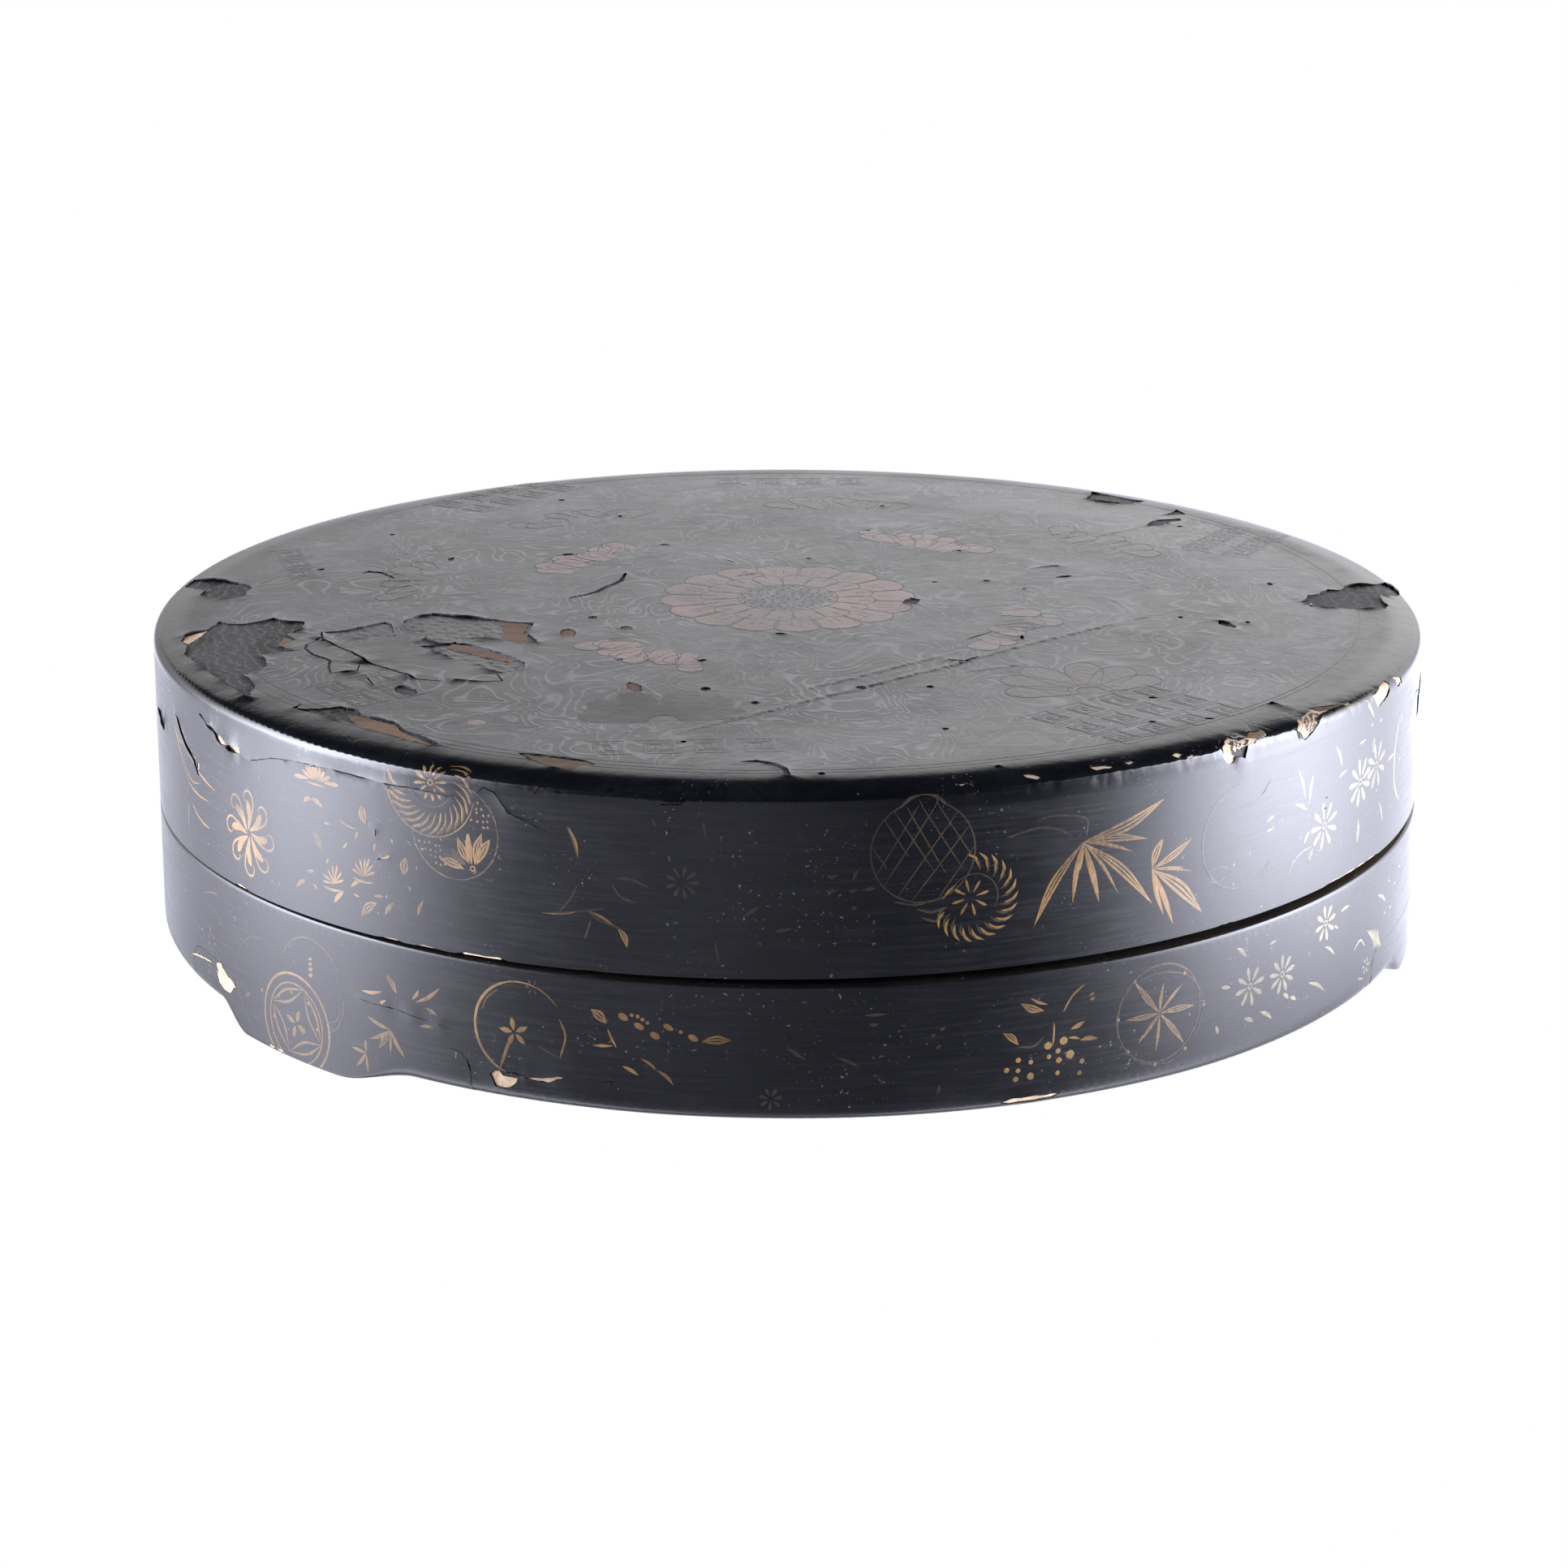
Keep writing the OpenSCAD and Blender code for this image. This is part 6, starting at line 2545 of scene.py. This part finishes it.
    def frets(self) -> None:
        """Draws broken square key frets near the rim, each line pale with a thin painted shadow in dark paint
        beside it.
        """
        patches = ((96, -121, 42, 4, 3), (-28, -151, 3, 4, 1), (-118, -96, 35, 2, 2), (-95, 140, 52, 4, 2),
                   (143, 78, -28, 2, 3), (-154, 46, 14, 1, 3), (0, 160, 0, 4, 1))
        key = ((-6, 6), (3.8, 6), (3.8, -3.6), (-3, -3.6), (-3, 2.2), (0.8, 2.2), (0.8, -0.8))
        for x, y, turn, columns, rows in patches:
            u, v = out_and_side(turn)
            for k in range(2 * columns * rows):
                sign = 1 - 2 * (k % 2)
                i, j = k // 2 % columns, k // 2 // columns
                middle = np.array([x, y]) + 13.5 * ((i - (columns - 1) / 2) * u + (j - (rows - 1) / 2) * v)
                corners = [middle + sign * (p * u + q * v) for p, q in key]
                for p, q in zip(corners, corners[1:]):
                    # Each key line is a pale line with a thin dark line beside it; the dark line is painted
                    # shadow of the pale one.
                    self.dark.line([tuple(p), tuple(q)], 0.25)
                    self.pale.line([tuple(p + 0.6 * u), tuple(q + 0.6 * u)], 0.6)


@dataclass
class Studio:
    """Camera, floor, backdrop and lights.

    Attributes:
        backdrop: Light of the low backdrop behind.
        horizon: Its light at the horizon.
        below: Its light below the horizon.
        back_slope: Share by which it dims at the left and grows at the right.
        left_power: Light of the left side box.
        left_wide: Its width in radians.
        right_power: Light of the right side box.
        right_wide: Its width in radians.
        right_turn: Its direction in radians.
        front_left: Light of the front left of the middle.
        front_right: The same right of the middle.
        upper_gain: How much brighter the side boxes are at the horizon than below it.
        near_left: Share of the left box's light that the floor close to the box passes on through the painted
            shadow of the box.
        near_right: The same at the right.
        near_back: Share of that painted shadow of the box that is left behind the middle.
        near_light: Strength of the floor's painted glow in that shadow, seen in reflections only.
        left_watts: Power of the left lamp for the matt parts.
        right_watts: Power of the right one.
        lamp_wide: Width of a lamp in metres.
        aim: Height in metres that the lamps look at.
    """

    backdrop: float = 1.18
    horizon: float = 0.9
    below: float = 2.2
    back_slope: float = 0.34
    upper_gain: float = 1.35
    left_power: float = 9.0
    left_wide: float = 0.36
    right_power: float = 14.5
    right_wide: float = 0.36
    right_turn: float = 0.06
    front_left: float = 0.55
    front_right: float = 0.1
    near_left: float = 0.4
    near_right: float = 0.19
    near_back: float = 0.3
    near_light: float = 0.3
    left_watts: float = 6.0
    right_watts: float = 7.5
    lamp_wide: float = 0.9
    aim: float = 0.06

    def build(self) -> None:
        """Builds the whole studio."""
        self.camera()
        self.world()
        self.floor()
        self.lights()

    def camera(self) -> None:
        """Places the camera as fitted to the photograph."""
        data = bpy.data.cameras.new("camera")
        data.lens = FOCAL_PIXELS / FRAME_PIXELS * SENSOR
        data.sensor_width = SENSOR
        made = bpy.data.objects.new("camera", data)
        turn = Matrix((Vector(RIGHT), Vector(UPWARD), -Vector(FORWARD))).transposed().to_4x4()
        made.matrix_world = Matrix.Translation(Vector(EYE) * MM) @ turn
        bpy.context.scene.collection.objects.link(made)
        bpy.context.scene.camera = made

    def world(self) -> None:
        """White for the camera, and for the box a low backdrop, two side boxes and a dim front."""
        world = bpy.data.worlds.new("room")
        bpy.context.scene.world = world
        world.use_nodes = True
        tree = world.node_tree
        tree.nodes.clear()
        g = Graph(tree)
        way = g.add("ShaderNodeTexCoord").outputs["Generated"]
        across, along, up = g.split(way)
        turn = g.math("ARCTAN2", along, across)
        back = g.ramp(along, 0.1, 0.8)
        slope = g.plus(1.0, g.ramp(across, -0.25, 0.25, -self.back_slope, self.back_slope))
        level = g.plus(g.ramp(up, 0.06, 0.17, self.horizon - self.backdrop, 0.0), self.backdrop)
        level = g.plus(level, g.ramp(up, -0.22, -0.03, self.below - self.horizon, 0.0))
        card = g.times(g.times(level, g.ramp(up, 0.36, 0.48, 1.0, 0.0)), slope)
        card = g.times(card, back)
        low = g.times(g.ramp(up, 0.5, 0.56, 1.0, 0.0), g.ramp(up, -0.2, 0.02, 1.0, self.upper_gain))
        left = self.lobe(g, turn, math.pi, self.left_wide, self.left_power)
        left = g.times(left, g.ramp(up, -0.08, 0.15, 1.0, 1.7))
        right = self.lobe(g, turn, self.right_turn, self.right_wide, self.right_power)
        front = g.ramp(across, -0.3, 0.5, self.front_left, self.front_right)
        front = g.times(front, g.ramp(up, 0.02, 0.14, 1.0, 0.03))
        front = g.times(front, g.minus(1.0, back))
        sides = g.times(g.plus(left, right), low)
        strength = g.plus(g.math("MAXIMUM", card, front), sides)
        path = g.add("ShaderNodeLightPath").outputs["Is Camera Ray"]
        total = g.plus(g.times(strength, g.minus(1.0, path)), path)
        warm = g.times(back, g.ramp(up, -0.1, 0.15))
        cool = g.mix(warm, (0.93, 0.94, 1.09, 1), (1, 1, 1, 1))
        tint = g.mix(path, cool, (1, 1, 1, 1))
        shade = g.add("ShaderNodeBackground", {"Color": tint, "Strength": total})
        end = tree.nodes.new("ShaderNodeOutputWorld")
        tree.links.new(shade.outputs[0], end.inputs[0])

    @staticmethod
    def lobe(g: Graph, turn: Socket, middle: float, wide: float, power: float) -> Socket:
        """Returns a soft lobe around a direction of the horizon, in radians."""
        off = g.math("COSINE", g.minus(turn, middle))
        return g.times(g.math("POWER", g.math("MAXIMUM", off, 0.0), 1.4 / wide**2), power)

    def floor(self) -> None:
        """A pale floor that the camera sees as white, and that in reflections dims the side boxes close to
        the box: a painted shadow of the box on the floor, with a dim painted glow.
        """
        material = bpy.data.materials.new("studio_floor")
        material.use_nodes = True
        tree = material.node_tree
        tree.nodes.clear()
        g = Graph(tree)
        path = g.add("ShaderNodeLightPath")
        far = g.add("ShaderNodeVectorMath", {0: g.place()}, operation="LENGTH").outputs["Value"]
        across, along, _ = g.split(g.place())
        share = g.ramp(across, -0.2, 0.2, 1 - self.near_left, 1 - self.near_right)
        share = g.times(share, g.ramp(along, -0.14, 0.0, 1.0, self.near_back))
        # Painted shadow of the box on the floor: close to the box, reflections see a dim glow in place of the
        # side boxes.
        painted_box_shadow = g.times(g.ramp(far, 0.17, 0.44, 1.0, 0.0), share)
        # Painted glow: the floor is no lamp, but shines dimly in reflections inside the painted shadow.
        dim = g.add("ShaderNodeEmission", {"Color": (0.93, 0.94, 1.09, 1), "Strength": self.near_light})
        clear = g.add("ShaderNodeBsdfTransparent")
        glow = g.add("ShaderNodeEmission", {"Color": (1, 1, 1, 1), "Strength": 1.0})
        shiny = g.add("ShaderNodeMixShader", {0: painted_box_shadow, 1: clear.outputs[0], 2: dim.outputs[0]})
        inputs = {0: path.outputs["Is Camera Ray"], 1: shiny.outputs[0], 2: glow.outputs[0]}
        both = g.add("ShaderNodeMixShader", inputs)
        end = tree.nodes.new("ShaderNodeOutputMaterial")
        tree.links.new(both.outputs[0], end.inputs[0])
        size = 6.0
        verts = np.array([(-size, -size, 0), (size, -size, 0), (size, size, 0), (-size, size, 0)])
        made = mesh_object("floor", verts, [(0, 1, 2, 3)], material)
        made.visible_diffuse = False
        made.visible_shadow = False

    def lights(self) -> None:
        """Two soft boxes at the sides, for the matt parts only."""
        left, right = (-1.05, -0.25, 0.35), (1.05, -0.2, 0.40)
        rows = (("soft_left", left, self.left_watts), ("soft_right", right, self.right_watts))
        for name, place, power in rows:
            data = bpy.data.lights.new(name, "AREA")
            data.shape = "RECTANGLE"
            data.size = data.size_y = self.lamp_wide
            data.energy = power
            made = bpy.data.objects.new(name, data)
            made.location = place
            way = Vector((0, 0, self.aim)) - Vector(place)
            made.rotation_euler = way.to_track_quat("-Z", "Y").to_euler()
            made.visible_glossy = False
            bpy.context.scene.collection.objects.link(made)


def main() -> None:
    """Builds every sub-assembly in order."""
    logging.basicConfig(level=logging.INFO, format="%(name)s: %(message)s")
    scene = bpy.context.scene
    scene.view_settings.view_transform = "Standard"
    looks = Looks()
    made = {finish.name: finish.make(looks) for finish in FINISHES}
    made["black_lacquer"] = Lacquer().make(looks)
    woodwork = Woodwork(made)
    woodwork.build()
    woodwork.dress()
    lid, base = Lid(made), Base(made)
    for part in (lid, base):
        part.build()
        part.dress()
    feet = [Foot(name, direction, made) for name, direction in FEET]
    for foot in feet:
        foot.build()
        foot.dress()
    tree = sweep_tree()
    lid_wall_surface = surface_of([lid.made["lid_lacquer"]], lid_wall_rays, 3.8)
    base_side = [base.made["base_lacquer"]] + [foot.made for foot in feet]
    base_wall_surface = surface_of(base_side, base_wall_rays, 5.0)
    top_surface = surface_of([lid.made["lid_lacquer"]], top_rays, 3.8)
    paints = ("pink", "faint_pink", "dark_paint", "pale_paint")
    brushes = {name: Brush("top_" + name, top_surface) for name in paints}
    TopOrnament(*brushes.values()).build()
    for (name, brush), rise in zip(brushes.items(), (0.014, 0.014, 0.03, 0.022)):
        brush.paint("lid", tree, made[name], rise)
    wall = (math.radians(1) * SIZES.box_r, 1.0)
    walls = (("lid", lid_wall_surface, LidWallOrnament), ("base", base_wall_surface, BaseWallOrnament))
    for body, surface, ornament in walls:
        paints = ("gold", "faint_gold", "pale_gold")
        golds = {name: Brush(body + "_" + name, surface, wall, SIZES.wall_z) for name in paints}
        ornament(*golds.values()).build()
        for name, brush in golds.items():
            brush.paint(body, tree, made[name])
    Studio().build()


if __name__ == "__main__":
    main()
